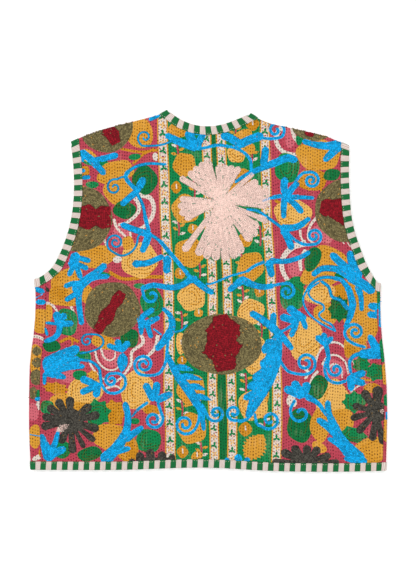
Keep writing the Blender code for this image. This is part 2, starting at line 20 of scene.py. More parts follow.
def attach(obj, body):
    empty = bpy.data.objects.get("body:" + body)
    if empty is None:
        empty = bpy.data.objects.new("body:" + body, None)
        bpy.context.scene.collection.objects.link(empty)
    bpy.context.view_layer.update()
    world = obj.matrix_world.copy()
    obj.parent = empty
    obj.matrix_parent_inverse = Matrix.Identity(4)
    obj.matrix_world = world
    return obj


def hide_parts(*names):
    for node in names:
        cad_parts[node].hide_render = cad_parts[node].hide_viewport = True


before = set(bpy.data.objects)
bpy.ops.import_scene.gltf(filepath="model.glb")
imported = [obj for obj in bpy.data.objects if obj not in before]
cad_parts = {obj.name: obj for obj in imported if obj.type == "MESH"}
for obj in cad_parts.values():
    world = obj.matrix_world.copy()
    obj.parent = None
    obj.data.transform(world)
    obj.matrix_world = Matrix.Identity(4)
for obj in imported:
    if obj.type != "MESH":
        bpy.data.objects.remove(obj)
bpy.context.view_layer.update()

MM = 0.001
UP, DOWN = 1, -1
TINY, FAINT = 1e-9, 1e-6  # the least sizes and weights to divide by
SAME_PLACE = 1e-3  # points nearer than this are one
FAR = 1000.0  # well above or below everything
FLOOR_GAP = 0.02

# The photograph's frame over the garment
PIXEL = 1.6
FRAME_PX, FRAME_PY = 416, 582
MIDDLE_PX, MIDDLE_PY = 208.05, 290.75

CAMERA_HEIGHT = 3.2
SENSOR = 36.0
VIEW_DEPTH = 20


def place(px, py):
    """A point of the garment under a pixel of the photograph."""
    return np.array(((px - MIDDLE_PX) * PIXEL, (MIDDLE_PY - py) * PIXEL))


def linear(level):
    """The linear share of light for a level on the eye's 0 to 255 scale."""
    share = level / 255
    return ((share + 0.055) / 1.055) ** 2.4 if level > 10 else share / 12.92


def srgb(red, green, blue):
    return linear(red), linear(green), linear(blue)


GOLD = srgb(208, 147, 48)
PALE_GOLD = srgb(224, 172, 88)
DEEP_GOLD = srgb(194, 130, 24)
GREEN = srgb(8, 126, 70)
DEEP_GREEN = srgb(6, 106, 54)
MOSS = srgb(62, 92, 34)
ROSE = srgb(178, 64, 80)
PALE_ROSE = srgb(202, 98, 110)
CREAM = srgb(216, 204, 192)
BLUE = srgb(6, 163, 222)
OLIVE = srgb(118, 107, 70)
RED = srgb(138, 16, 30)
PINK = srgb(238, 206, 194)
CHARCOAL = srgb(70, 67, 60)
TAPE_GREEN = srgb(22, 106, 56)
TAPE_WHITE = srgb(220, 208, 200)


def ease(amount):
    amount = np.clip(amount, 0.0, 1.0)
    return amount * amount * (3 - 2 * amount)


def smooth_path(places, step=1.2):
    """Closely spaced points of a smooth line through a few places."""
    knots = np.array(places, float)
    if len(knots) == 2:
        count = max(2, int(np.linalg.norm(knots[1] - knots[0]) / step))
        shares = np.linspace(0, 1, count + 1)[:, None]
        return knots[0] * (1 - shares) + knots[1] * shares
    ends = np.vstack([2 * knots[0] - knots[1], knots, 2 * knots[-1] - knots[-2]])
    line = [knots[:1]]
    for k in range(len(knots) - 1):
        a, b, c, d = ends[k : k + 4]
        count = max(2, int(np.linalg.norm(c - b) / step))
        t = (np.arange(1, count + 1) / count)[:, None]
        bend = 2 * b + (c - a) * t + (2 * a - 5 * b + 4 * c - d) * t**2 + (3 * b - a - 3 * c + d) * t**3
        line.append(bend / 2)
    return np.vstack(line)


def lengths_along(line):
    steps = np.linalg.norm(np.diff(line, axis=0), axis=1)
    return np.concatenate([[0.0], np.cumsum(steps)])


def headings(line):
    ahead = np.gradient(line, axis=0)
    return ahead / np.maximum(np.linalg.norm(ahead, axis=1), TINY)[:, None]


def left_of(ahead):
    """Directions turned a quarter to the left."""
    return np.stack([-ahead[:, 1], ahead[:, 0]], axis=1)


def straight_hit(tree, x, y, facing):
    """The point that a tree shows at a place, from above (1) or from below (-1), or None."""
    return tree.ray_cast(Vector((x, y, FAR * facing)), Vector((0, 0, -facing)))[0]


# The charts of the cloth

LEVEL = 0.05  # a face whose normal rises less than this belongs to a cut edge
OUTLINE_STEP = 4.0
SHOWN_SLACK = 0.02


def merged(node):
    """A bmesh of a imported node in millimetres, with its loose triangles joined."""
    shape = bmesh.new()
    shape.from_mesh(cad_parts[node].data)
    bmesh.ops.scale(shape, vec=(1000,) * 3, verts=shape.verts)
    bmesh.ops.remove_doubles(shape, verts=shape.verts, dist=SAME_PLACE)
    shape.normal_update()
    return shape


class Chart:
    """One face of a panel, as it shows from above or from below: its outline and its heights."""

    def __init__(self, node, facing, others):
        self.facing = facing
        shape = merged(node)
        cover = BVHTree.FromBMesh(shape)
        shown = []
        for face in shape.faces:
            if face.normal.z * facing <= LEVEL:
                continue
            middle = face.calc_center_median()
            hits = [straight_hit(tree, middle.x, middle.y, facing) for tree in (cover, *others)]
            first = max((hit.z * facing for hit in hits if hit is not None), default=None)
            if first is not None and abs(first - middle.z * facing) < SHOWN_SLACK:
                shown.append(face)
        shown = self.largest_patch(shown)
        self.outline = self.longest_loop(shown)
        top = bmesh.new()
        verts = {}
        for face in shown:
            for vert in face.verts:
                if vert not in verts:
                    verts[vert] = top.verts.new(vert.co)
            top.faces.new([verts[vert] for vert in face.verts])
        self.tree = BVHTree.FromBMesh(top)
        top.free()
        shape.free()

    @staticmethod
    def largest_patch(faces):
        """The biggest group of faces that touch along their edges."""
        left, best = dict.fromkeys(faces), []
        while left:
            patch = [left.popitem()[0]]
            for face in patch:
                for edge in face.edges:
                    for other in edge.link_faces:
                        if other in left:
                            del left[other]
                            patch.append(other)
            if sum(face.calc_area() for face in patch) > sum(face.calc_area() for face in best):
                best = patch
        return best

    @staticmethod
    def longest_loop(faces):
        """The border of a group of faces, with a point at least every few millimetres."""
        own = set(faces)
        following = {}
        for face in faces:
            for loop in face.loops:
                if not any(other in own for other in loop.edge.link_faces if other is not face):
                    following[loop.vert] = loop.link_loop_next.vert
        loops = []
        while following:
            start = next(iter(following))
            run, vert = [], start
            while vert in following:
                run.append(vert)
                vert = following.pop(vert)
            loops.append(run)
        run = max(loops, key=len)
        points = []
        for a, b in zip(run, run[1:] + run[:1]):
            count = max(1, math.ceil((a.co - b.co).length / OUTLINE_STEP))
            points += [tuple(a.co.lerp(b.co, n / count)) for n in range(count)]
        return np.array(points)

    def height(self, point):
        """The height of the face over a point of the table, or None outside it."""
        hit = straight_hit(self.tree, point[0], point[1], self.facing)
        return None if hit is None else hit.z


MAP_STEP = 3.0
MAP_SOFTENING = 4
RAW_REACH, SOFT_REACH = 6.0, 18.0
ROOM_BELOW = 0.9  # how much higher than its solid a lower face lies, so that stitches fit below it


class HeightMap:
    """A chart's heights, softened away from its outline so that the solids' flat facets don't show."""

    def __init__(self, chart):
        self.chart = chart
        low = chart.outline[:, :2].min(axis=0) - MAP_STEP
        high = chart.outline[:, :2].max(axis=0) + MAP_STEP
        self.low = low
        self.counts = np.ceil((high - low) / MAP_STEP).astype(int) + 1
        heights = np.full(self.counts, np.nan)
        for i in range(self.counts[0]):
            for j in range(self.counts[1]):
                found = chart.height(low + np.array((i, j)) * MAP_STEP)
                if found is not None:
                    heights[i, j] = found
        known = ~np.isnan(heights)
        total = np.where(known, heights, 0.0)
        weight = known.astype(float)
        for _ in range(MAP_SOFTENING):
            total, weight = self.spread(total), self.spread(weight)
            total[known] /= weight[known]
            weight[known] = 1.0
            total = np.where(weight > FAINT, total, 0.0)
        self.soft = np.where(weight > FAINT, total / np.maximum(weight, FAINT), np.nanmean(heights))

    @staticmethod
    def spread(grid):
        for axis in (0, 1):
            near = np.roll(grid, 1, axis) + np.roll(grid, -1, axis)
            grid = grid * 0.5 + near * 0.25
        return grid

    def softened(self, points):
        where = (points - self.low) / MAP_STEP
        base = np.clip(where.astype(int), 0, self.counts - 2)
        share = np.clip(where - base, 0, 1)
        i, j = base[:, 0], base[:, 1]
        u, v = share[:, 0], share[:, 1]
        near = self.soft[i, j] * (1 - u) + self.soft[i + 1, j] * u
        far = self.soft[i, j + 1] * (1 - u) + self.soft[i + 1, j + 1] * u
        return near * (1 - v) + far * v

    def heights(self, points):
        """Heights at many points, and which of them lie over the face."""
        points = np.asarray(points, float)
        soft = self.softened(points)
        raw = np.array([self.chart.height(point) for point in points], object)
        over = np.array([value is not None for value in raw])
        raw = np.where(over, raw, soft).astype(float)
        gap = gap_to_outline(points, self.chart.outline[:, :2])
        share = ease((gap - RAW_REACH) / (SOFT_REACH - RAW_REACH))
        waves = ripple(points) * share * self.chart.facing
        if self.chart.facing < 0:
            waves = waves + ROOM_BELOW * share
        return raw * (1 - share) + soft * share + waves, over


LONG_WAVE, SHORT_WAVE = 0.28, 0.16
POINTS_AT_ONCE = 4000


def ripple(points):
    """The slight unevenness of hand-quilted cloth, in a few crossing waves."""
    x, y = points[:, 0], points[:, 1]
    long_waves = np.sin(x / 17.3 + 1.7 * np.sin(y / 41.0)) * np.sin(y / 23.1 + 1.3 * np.sin(x / 37.0))
    short_waves = np.sin(x / 6.1 + y / 19.0) * np.sin(y / 7.7 - x / 23.0 + 2.0)
    return LONG_WAVE * long_waves + SHORT_WAVE * short_waves


def gap_to_outline(points, outline):
    """How far each point is from a closed line."""
    starts, ends = outline, np.roll(outline, -1, axis=0)
    runs = ends - starts
    sizes = np.maximum((runs**2).sum(axis=1), TINY)
    nearest = np.full(len(points), np.inf)
    for first in range(0, len(points), POINTS_AT_ONCE):
        some = points[first : first + POINTS_AT_ONCE]
        away = some[:, None, :] - starts[None]
        share = np.clip((away * runs).sum(axis=2) / sizes, 0, 1)
        off = away - share[..., None] * runs
        nearest[first : first + POINTS_AT_ONCE] = np.sqrt((off**2).sum(axis=2)).min(axis=1)
    return nearest


def rim_heights(points, outline):
    """The heights of a closed line at points on it."""
    starts, ends = outline, np.roll(outline, -1, axis=0)
    runs = (ends - starts)[:, :2]
    away = points[:, None, :] - starts[None, :, :2]
    share = np.clip((away * runs).sum(axis=2) / np.maximum((runs**2).sum(axis=1), TINY), 0, 1)
    off = ((away - share[..., None] * runs) ** 2).sum(axis=2)
    best = off.argmin(axis=1)
    share = share[np.arange(len(points)), best]
    return starts[best, 2] * (1 - share) + ends[best, 2] * share


def inside(points, border):
    """Which points lie inside a closed line."""
    result = np.zeros(len(points), bool)
    x, y = points[:, 0], points[:, 1]
    for (ax, ay), (bx, by) in zip(border, np.roll(border, -1, axis=0)):
        crosses = (ay > y) != (by > y)
        if ay != by:
            result ^= crosses & (x < ax + (y - ay) / (by - ay) * (bx - ax))
    return result


# The printed pattern

Print = namedtuple("Print", "border dye specks")
print_shapes = []
ROUND_POINTS = 26
LEAF_FULLNESS, SAW_DEPTH = 0.8, 0.72
BAND_STEP = 4.0


def ink(border, dye, specks=0.0):
    print_shapes.append(Print(np.array(border, float), dye, specks))


def turned(points, degrees):
    turn = math.radians(degrees)
    spin = np.array(((math.cos(turn), math.sin(turn)), (-math.sin(turn), math.cos(turn))))
    return points @ spin


def round_shape(across, along, lobes, depth, phase):
    """A closed line round the origin: an ellipse, drawn in between its lobes."""
    angles = np.arange(ROUND_POINTS) / ROUND_POINTS * math.tau
    reach = 1 + depth * np.cos(lobes * angles + phase)
    return np.stack([np.cos(angles) * across * reach, np.sin(angles) * along * reach], axis=1)


def leaf_shape(length, width, teeth=0, count=9):
    """A pointed leaf along X, with a saw edge if it has teeth."""
    shares = np.linspace(0, 1, count if not teeth else 2 * teeth + 1)
    rise = np.sin(shares * math.pi) ** LEAF_FULLNESS * width / 2
    if teeth:
        rise[1::2] *= SAW_DEPTH
    upper = np.stack([(shares - 0.5) * length, rise], axis=1)
    return np.vstack([upper, (upper * (1, -1))[-2:0:-1]])


def band(places, width, end_width=None):
    """A strip of even or tapering width along a smooth line."""
    line = smooth_path(places, BAND_STEP)
    shares = lengths_along(line) / lengths_along(line)[-1]
    half = (width + ((end_width if end_width is not None else width) - width) * shares) / 2
    out = left_of(headings(line)) * half[:, None]
    return np.vstack([line + out, (line - out)[::-1]])


# The long stripes run down the back, and bend a little with the cloth
TOP_PY, LOW_PY = 100, 480
STRIPE_LEVELS = (TOP_PY, 200, 297, 388, LOW_PY)
Stripe = namedtuple("Stripe", "width middles")
FLORAL_STRIPES = (
    Stripe(10.6, (162.0, 164.6, 169.2, 168.9, 171.4)),
    Stripe(9.8, (205.6, 208.5, 213.0, 212.6, 215.3)),
    Stripe(10.0, (220.0, 223.0, 228.0, 231.6, 232.5)),
    Stripe(10.2, (264.5, 266.1, 271.5, 277.5, 275.8)),
)
STRIPE_ROWS = 34
WAVER_PX, WAVER_EVERY_PX = 0.35, 13.0
EDGE_LINE_PX = 1.3
SPRIG_EVERY_PX = 17.0
SPRIG_DELAY_PX = 5
SPRIG_CLEAR_PX = 6


def beside(number, side, py):
    """Where the left (-1) or right (1) edge of a long stripe runs at a level."""
    stripe = FLORAL_STRIPES[number]
    return np.interp(py, STRIPE_LEVELS, stripe.middles) + side * stripe.width / 2


def upright(left, right):
    """The border of what lies between two lines that run down the back."""
    rows = np.linspace(TOP_PY, LOW_PY, STRIPE_ROWS)
    waver = WAVER_PX * np.sin(rows / WAVER_EVERY_PX)
    first = [place(left(py) + w, py) for py, w in zip(rows, waver)]
    second = [place(right(py) + w, py) for py, w in zip(rows, waver)]
    return first + second[::-1]


def print_stripes():
    """The green garden, its darker middle, and the four cream stripes with their sprigs."""
    ink(upright(lambda py: beside(0, 1, py), lambda py: beside(3, -1, py)), GREEN)
    ink(upright(lambda py: beside(1, 1, py), lambda py: beside(2, -1, py)), DEEP_GREEN)
    chance = random.Random(5)
    for number in range(len(FLORAL_STRIPES)):
        ink(upright(lambda py: beside(number, -1, py), lambda py: beside(number, 1, py)), GOLD)

        def inner_left(py):
            return beside(number, -1, py) + EDGE_LINE_PX

        def inner_right(py):
            return beside(number, 1, py) - EDGE_LINE_PX

        ink(upright(inner_left, inner_right), CREAM, specks=1.0)
        py = TOP_PY + SPRIG_DELAY_PX * number
        while py < LOW_PY - SPRIG_CLEAR_PX:
            left, right = inner_left(py), inner_right(py)
            sprig((left + right) / 2, py, (right - left) * 0.5, chance)
            py += SPRIG_EVERY_PX


Whorl = namedtuple("Whorl", "angles leans length width out points below dye")
SPRIG = (
    Whorl((90, 205, 325), (-12, 12), 1.15, 0.62, 0.5, 6, 0, GREEN),
    Whorl((20, 110, 215, 300), (0, 60), 0.8, 0.45, 0.48, 5, SPRIG_EVERY_PX / 2, PALE_GOLD),
)


def sprig(px, py, reach_px, chance):
    """Three green leaves from one point, and a small golden flower half a repeat below."""
    reach = reach_px * PIXEL
    for whorl in SPRIG:
        lean = chance.uniform(*whorl.leans)
        for degrees in whorl.angles:
            leaf = leaf_shape(reach * whorl.length, reach * whorl.width, count=whorl.points)
            leaf[:, 0] += reach * whorl.out
            ink(turned(leaf, degrees + lean) + place(px, py + whorl.below), whorl.dye)


Blob = namedtuple("Blob", "px py across along lean lobes dye")
GARDEN_FRUITS = (
    Blob(178, 130, 10, 8, 0, 3, GOLD),
    Blob(184.5, 165, 11.5, 12, 0, 5, GOLD),
    Blob(176.3, 187.5, 5, 6, 0, 4, DEEP_GOLD),
    Blob(186, 209, 14, 14.5, 0, 5, GOLD),
    Blob(192.8, 229, 5, 5, 0, 4, GOLD),
    Blob(189.5, 253, 15.5, 14.5, 10, 5, GOLD),
    Blob(180, 273.5, 5.5, 5.5, 0, 4, DEEP_GOLD),
    Blob(191.7, 297, 13.9, 13.8, 0, 5, PALE_GOLD),
    Blob(198.6, 313, 4.5, 4, 0, 4, GOLD),
    Blob(181, 343, 5, 11, 0, 3, PALE_GOLD),
    Blob(182, 360.5, 4.5, 5, 0, 4, DEEP_GOLD),
    Blob(191, 389, 14, 16, 0, 5, GOLD),
    Blob(192, 428, 15, 15.5, 0, 5, GOLD),
    Blob(182.6, 451.5, 5.5, 6, 0, 4, DEEP_GOLD),
    Blob(197, 455, 6, 4, 20, 3, GOLD),
    Blob(252.3, 124, 6.5, 7, 20, 4, DEEP_GOLD),
    Blob(242, 136, 11, 5.5, 20, 3, GOLD),
    Blob(236.5, 154, 9.5, 9, -10, 5, PALE_GOLD),
    Blob(249, 150, 7, 5, 35, 3, GOLD),
    Blob(244, 177, 8, 8, 0, 4, DEEP_GOLD),
    Blob(235, 190, 9, 10, 0, 5, GOLD),
    Blob(245, 240, 8, 7, 30, 4, GOLD),
    Blob(250.5, 267, 13, 15.5, -25, 5, GOLD),
    Blob(259.3, 291.5, 5, 5.5, 0, 4, DEEP_GOLD),
    Blob(251, 311.5, 13.5, 12.5, 15, 4, PALE_GOLD),
    Blob(253.5, 354, 13.5, 19.5, 0, 5, PALE_GOLD),
    Blob(262, 398, 6.5, 14, -8, 4, GOLD),
    Blob(253, 405, 14.5, 15.5, 0, 4, PALE_GOLD),
    Blob(245.3, 429, 6.5, 7, 0, 4, DEEP_GOLD),
)
OUTER_BLOBS = (
    Blob(140.5, 134, 13, 15, 0, 3, GOLD),
    Blob(96.5, 162.5, 13, 4.5, -5, 3, GREEN),
    Blob(134.8, 157, 6.5, 3, 8, 2, GREEN),
    Blob(155.5, 157, 2.8, 4.2, 15, 2, CREAM),
    Blob(88, 156, 9, 6, -20, 3, GOLD),
    Blob(115.7, 173, 19, 12, 18, 5, GOLD),
    Blob(85, 172, 5, 6, 0, 3, DEEP_GOLD),
    Blob(145, 180, 12.5, 14.5, 10, 4, DEEP_GREEN),
    Blob(118.5, 191.5, 15, 13.5, -20, 4, GOLD),
    Blob(92.5, 185, 6.5, 3.5, 0, 3, GREEN),
    Blob(124.6, 210, 11.5, 9, -5, 4, DEEP_GREEN),
    Blob(139.5, 260, 18.5, 18, 10, 5, PALE_GOLD),
    Blob(128, 243, 6, 7, 0, 4, GOLD),
    Blob(95, 257, 22, 11, 8, 5, GOLD),
    Blob(67, 279, 18, 10, 28, 4, GOLD),
    Blob(117.5, 259.5, 4.5, 3.5, 0, 2, CREAM),
    Blob(101.6, 274.5, 9, 3, -5, 2, GREEN),
    Blob(140, 286, 6.5, 2.8, 0, 2, GREEN),
    Blob(70, 293, 22, 13, 12, 5, GOLD),
    Blob(59, 293, 9, 8, 15, 7, DEEP_GOLD),
    Blob(88, 297, 6, 9, 20, 4, GOLD),
    Blob(48, 313, 5, 9, 0, 3, GOLD),
    Blob(67, 322, 11, 14, 5, 4, GREEN),
    Blob(52, 346, 9, 6, 0, 4, DEEP_GREEN),
    Blob(152, 303, 11.5, 15.5, 5, 4, GREEN),
    Blob(129.5, 338, 9.5, 10, 0, 4, DEEP_GREEN),
    Blob(84, 356, 8, 5, -15, 3, GREEN),
    Blob(104, 342, 13, 7, -15, 4, GOLD),
    Blob(72, 402, 23, 10, 0, 4, GOLD),
    Blob(86, 390, 19, 13, 5, 4, PALE_GOLD),
    Blob(56, 388, 13, 6, -8, 8, DEEP_GOLD),
    Blob(93, 376, 6, 6, 0, 7, GOLD),
    Blob(80, 375, 7, 5, 0, 3, GREEN),
    Blob(137, 390, 17, 20, 0, 5, PALE_GOLD),
    Blob(114, 413, 12, 13.5, 0, 7, DEEP_GOLD),
    Blob(97, 413, 14, 14, 10, 8, GREEN),
    Blob(114, 438, 22, 14, -12, 5, GOLD),
    Blob(148.5, 440.5, 13, 12, 0, 4, GREEN),
    Blob(90, 453.5, 12.5, 7, 12, 4, DEEP_GREEN),
    Blob(62, 449, 10, 9, 0, 4, GREEN),
    Blob(47.5, 407, 7, 7, 0, 4, GREEN),
    Blob(128, 449, 11, 13, 0, 3, DEEP_GOLD),
    Blob(152, 410, 9, 5, -10, 3, DEEP_GOLD),
    Blob(160, 419, 3.5, 5, 0, 2, CREAM),
    Blob(135, 421, 5, 3, 0, 2, GREEN),
    Blob(299.5, 139, 3.8, 6.5, -10, 3, GREEN),
    Blob(318, 155, 22, 16, -5, 5, GOLD),
    Blob(287, 168, 12.5, 15, 0, 4, GREEN),
    Blob(312, 180, 15, 11, 0, 4, DEEP_GOLD),
    Blob(331.5, 175, 8.5, 6, 10, 4, DEEP_GREEN),
    Blob(293, 214, 19, 15, -10, 5, PALE_GOLD),
    Blob(297, 282, 9, 5.5, 0, 3, GREEN),
    Blob(330, 258, 18, 11, -25, 4, GOLD),
    Blob(322, 275, 22, 12, 8, 5, GOLD),
    Blob(312.5, 259, 7.6, 13, -22, 3, DEEP_GREEN),
    Blob(362, 316, 19, 27, -5, 5, GOLD),
    Blob(355, 346, 12, 11, 0, 4, GOLD),
    Blob(341.5, 275, 7, 4, 0, 3, DEEP_GREEN),
    Blob(292, 295, 13, 16, 0, 4, GREEN),
    Blob(319, 293, 16, 12, 0, 4, PALE_GOLD),
    Blob(347, 291, 14, 11, 0, 7, DEEP_GOLD),
    Blob(326, 314, 13, 11, 0, 5, GOLD),
    Blob(339, 309, 11, 13, 0, 8, DEEP_GREEN),
    Blob(305, 339, 17, 22, -10, 5, PALE_GOLD),
    Blob(372, 300, 6, 12, 0, 3, GOLD),
    Blob(350, 352, 6, 7, 10, 4, DEEP_GOLD),
    Blob(333, 404, 18, 25, 5, 5, PALE_GOLD),
    Blob(318, 387, 9, 12.5, -20, 4, DEEP_GREEN),
    Blob(354, 402, 12, 11, 0, 8, GREEN),
    Blob(361, 364, 9, 8, 0, 7, GREEN),
    Blob(375, 372, 10, 9, 0, 7, GREEN),
    Blob(300, 425.5, 13, 17, 0, 4, DEEP_GREEN),
    Blob(291.5, 401, 5, 6.5, 20, 3, CREAM),
    Blob(320, 425, 10, 17, 0, 4, GOLD),
    Blob(342, 420, 12, 12, 0, 4, GOLD),
    Blob(353, 434.5, 14, 8.5, -8, 6, GREEN),
    Blob(371, 450, 18, 13, 15, 5, GOLD),
    Blob(319, 447, 8, 5, -30, 3, GOLD),
    Blob(372, 388, 9, 5, 0, 3, DEEP_GOLD),
)

Arc = namedtuple("Arc", "width places")
CREAM_ARCS = (
    Arc(5.0, ((138.5, 195), (150, 198), (154, 208), (151, 219), (142, 228), (132, 230))),
    Arc(4.2, ((135, 198), (139, 205), (138, 213), (128, 222), (118, 225))),
    Arc(3.0, ((114, 219), (117, 228), (126, 238), (121, 246))),
    Arc(2.6, ((108, 226), (104, 236), (108, 248), (118, 254))),
    Arc(2.4, ((130, 232), (131, 240), (127, 247))),
    Arc(3.2, ((45, 303), (52, 304.5), (58, 312))),
    Arc(3.2, ((68, 301), (72, 308), (76, 319))),
    Arc(3.6, ((141, 334), (143, 343), (132, 352), (131, 364), (121, 378), (110, 384))),
    Arc(4.0, ((158, 335), (155, 348), (146, 357), (137, 360))),
    Arc(2.2, ((101, 348), (104, 357), (110, 360.5), (115, 357), (115, 351))),
    Arc(2.4, ((95, 350), (98, 361), (106, 369), (115, 369.5), (121, 364))),
    Arc(2.6, ((89, 352), (91, 365), (101, 377), (110, 381))),
    Arc(2.6, ((106, 388), (116, 386), (124, 391))),
    Arc(5.2, ((283, 126), (277, 134), (276.5, 143), (282, 151), (290, 154), (298, 155))),
    Arc(4.6, ((292, 127), (294, 137), (299, 144))),
    Arc(3.0, ((318, 216), (310, 226), (308, 238), (314, 244))),
    Arc(2.6, ((300, 230), (301, 238), (306, 243))),
    Arc(1.6, ((323, 224), (335, 234), (344, 244))),
    Arc(1.4, ((326, 221), (342, 236), (350, 247))),
    Arc(6.4, ((306, 243), (293, 247), (284, 256), (281.5, 266), (286, 278), (294, 284))),
    Arc(4.6, ((306, 250), (300, 260), (301, 271))),
    Arc(2.4, ((322, 365), (327, 357), (336, 355), (345, 362), (348, 374))),
    Arc(2.8, ((314, 366), (320, 350), (334, 342), (347, 350), (355, 366))),
    Arc(2.0, ((328, 368), (334, 363.5), (341, 368), (342, 378))),
    Arc(3.0, ((318, 371), (312, 378), (309, 390))),
    Arc(4.0, ((302, 366), (308, 372), (305, 379))),
    Arc(2.0, ((350, 392), (358, 386), (366, 384))),
)
GOLD_TWIGS = (
    Arc(2.6, ((121, 149), (140, 152), (160, 150))),
    Arc(2.6, ((155, 149), (144, 154), (133, 164))),
    Arc(3.6, ((109, 272), (124, 279), (145, 277), (165, 277))),
    Arc(3.0, ((60, 342), (70, 338), (79, 342))),
    Arc(2.0, ((69, 335), (73, 343), (68, 350))),
    Arc(2.6, ((308, 190), (318, 187), (322, 192))),
    Arc(3.0, ((290, 199), (280, 203), (275, 200))),
    Arc(2.6, ((360, 378), (370, 380), (380, 376))),
)
PALE_PATCHES = (
    Blob(112, 355, 12, 12, 0, 3, PALE_ROSE),
    Blob(333, 370, 12, 11, 0, 3, PALE_ROSE),
    Blob(121, 236, 9, 12, 0, 3, PALE_ROSE),
    Blob(151, 213, 4, 10, 0, 2, PALE_ROSE),
    Blob(322, 234, 12, 9, -20, 3, PALE_ROSE),
    Blob(290, 137, 5, 12, 0, 3, PALE_ROSE),
    Blob(295, 265, 8, 12, 0, 3, PALE_ROSE),
    Blob(70, 376, 8, 7, 0, 3, PALE_ROSE),
    Blob(148, 345, 6, 9, 20, 3, PALE_ROSE),
    Blob(363, 358, 9, 6, 0, 3, PALE_ROSE),
)


VEIN_DYES = {GOLD: DEEP_GOLD, PALE_GOLD: DEEP_GOLD, DEEP_GOLD: GOLD, GREEN: MOSS, DEEP_GREEN: MOSS}
Vein = namedtuple("Vein", "share sweep")
VEINS = (Vein(0.34, 3.0), Vein(0.62, 2.3), Vein(0.84, 2.1), Vein(0.60, -1.7))
VEIN_POINTS = 9
VEIN_PX = 0.9
LEAST_VEINED_PX = 7
POINTED_LOBES = 6  # a shape with this many lobes or more has points in their place
POINTS_A_LOBE = 6


def ink_blob(blob, depth=0.05):
    """A leaf or fruit: round with soft lobes, or with points if it has many, and lines inside it."""
    size = np.array((blob.across, blob.along)) * PIXEL
    if blob.lobes >= POINTED_LOBES:
        count = POINTS_A_LOBE * blob.lobes
        angles = np.arange(count) / count * math.tau
        reach = 1.08 - 0.26 * np.abs(np.sin(blob.lobes * angles / 2))
        shape = np.stack([np.cos(angles), np.sin(angles)], axis=1) * reach[:, None] * size
    else:
        shape = round_shape(*size, blob.lobes, depth, blob.px)
    middle = place(blob.px, blob.py)
    ink(turned(shape, blob.lean) + middle, blob.dye)
    if size.min() < LEAST_VEINED_PX * PIXEL or blob.dye not in VEIN_DYES:
        return
    start = math.radians(blob.px * 37 % 360)
    for vein in VEINS:
        angles = start + vein.share * 3 + np.linspace(0, vein.sweep, VEIN_POINTS)
        wave = vein.share * (1 + 0.14 * np.cos(3 * angles + blob.py))
        line = np.stack([np.cos(angles) * wave, np.sin(angles) * wave], axis=1) * size
        line = [tuple(spot) for spot in turned(line, blob.lean) + middle]
        ink(band(line, VEIN_PX * PIXEL), VEIN_DYES[blob.dye])


Spray = namedtuple("Spray", "px py length")
GARDEN_SPRAYS = (
    Spray(177, 145, 15), Spray(193.7, 181, 18), Spray(178, 221, 15), Spray(199, 262, 16),
    Spray(181, 311, 18), Spray(181.4, 400, 16), Spray(200.4, 442, 16), Spray(178, 118, 9),
    Spray(234.4, 124, 12), Spray(251, 148, 18), Spray(259.5, 226, 20), Spray(241, 254, 17),
    Spray(242, 286, 19), Spray(260.7, 323, 14), Spray(245, 373, 19), Spray(263.4, 408, 19),
    Spray(237, 176, 14),
)
SPRAY_LEAVES = ((-1, CREAM), (1, GOLD), (-1, GOLD), (1, CREAM))
SPRAY_STEP_PX = 3.7
SPRAY_FOOT_PX, SPRAY_TIP_PX = 1.5, 2.2
SPRAY_LEAF_PX = (6.2, 2.9)
SPRAY_LEAF_OUT_PX = 4.0
SPRAY_LEAF_TURN, SPRAY_LEAF_SWAY = 68, 12


def garden_spray(spray, chance):
    """A rose stem with golden and cream leaves on both sides."""
    foot = (spray.px + 0.8, spray.py + spray.length)
    stem = [place(spray.px, spray.py), place(spray.px + 1.2, spray.py + spray.length / 2), place(*foot)]
    ink(band(stem, SPRAY_TIP_PX * PIXEL, SPRAY_FOOT_PX * PIXEL), ROSE)
    length, width = SPRAY_LEAF_PX
    for number in range(int(spray.length / SPRAY_STEP_PX)):
        side, dye = SPRAY_LEAVES[number % len(SPRAY_LEAVES)]
        leaf = leaf_shape(length * PIXEL, width * PIXEL, count=6)
        leaf[:, 0] += SPRAY_LEAF_OUT_PX * PIXEL
        degrees = 90 - side * SPRAY_LEAF_TURN + chance.uniform(-SPRAY_LEAF_SWAY, SPRAY_LEAF_SWAY)
        at = place(spray.px + 0.9, spray.py + 2.5 + number * SPRAY_STEP_PX)
        ink(turned(leaf, degrees) + at, dye)


SEED_SIZE = 7  # a fruit less wide than this has a cream seed
SEED_PX = 1.3
ARC_TAPER = 0.6
SUN_LEAF = (31, 25)


def print_pattern():
    """The block-printed ground: rose at the sides, a green garden with floral stripes in the middle."""
    for patch in PALE_PATCHES:
        ink_blob(patch)
    for arc in CREAM_ARCS:
        width = arc.width * PIXEL
        ink(band([place(*p) for p in arc.places], width, width * ARC_TAPER), CREAM)
    for twig in GOLD_TWIGS:
        ink(band([place(*p) for p in twig.places], twig.width * PIXEL), DEEP_GOLD)
    for blob in OUTER_BLOBS:
        ink_blob(blob)
    print_stripes()
    chance = random.Random(11)
    for spray in GARDEN_SPRAYS:
        garden_spray(spray, chance)
    for fruit in GARDEN_FRUITS:
        ink_blob(fruit, 0.06)
        if fruit.across < SEED_SIZE:
            seed = [place(fruit.px, fruit.py - 3.4), place(fruit.px + 0.4, fruit.py + 1.5)]
            ink(band(seed, SEED_PX * PIXEL), CREAM)
    length, width = SUN_LEAF
    leaf = leaf_shape(length * PIXEL, width * PIXEL, teeth=9)
    ink(turned(leaf, 55) + place(254.5, 447), GOLD)


GRID_STEP, STRIP_GRID_STEP = 5.0, 3.0
GRID_ROW_SHARE = 0.87
BORDER_CLEAR = 5.6
BORDER_ROWS = (0.45, 1.2, 2.3, 3.7)
RIM_REACH = 0.02
Sheet = namedtuple("Sheet", "points faces colours specks")


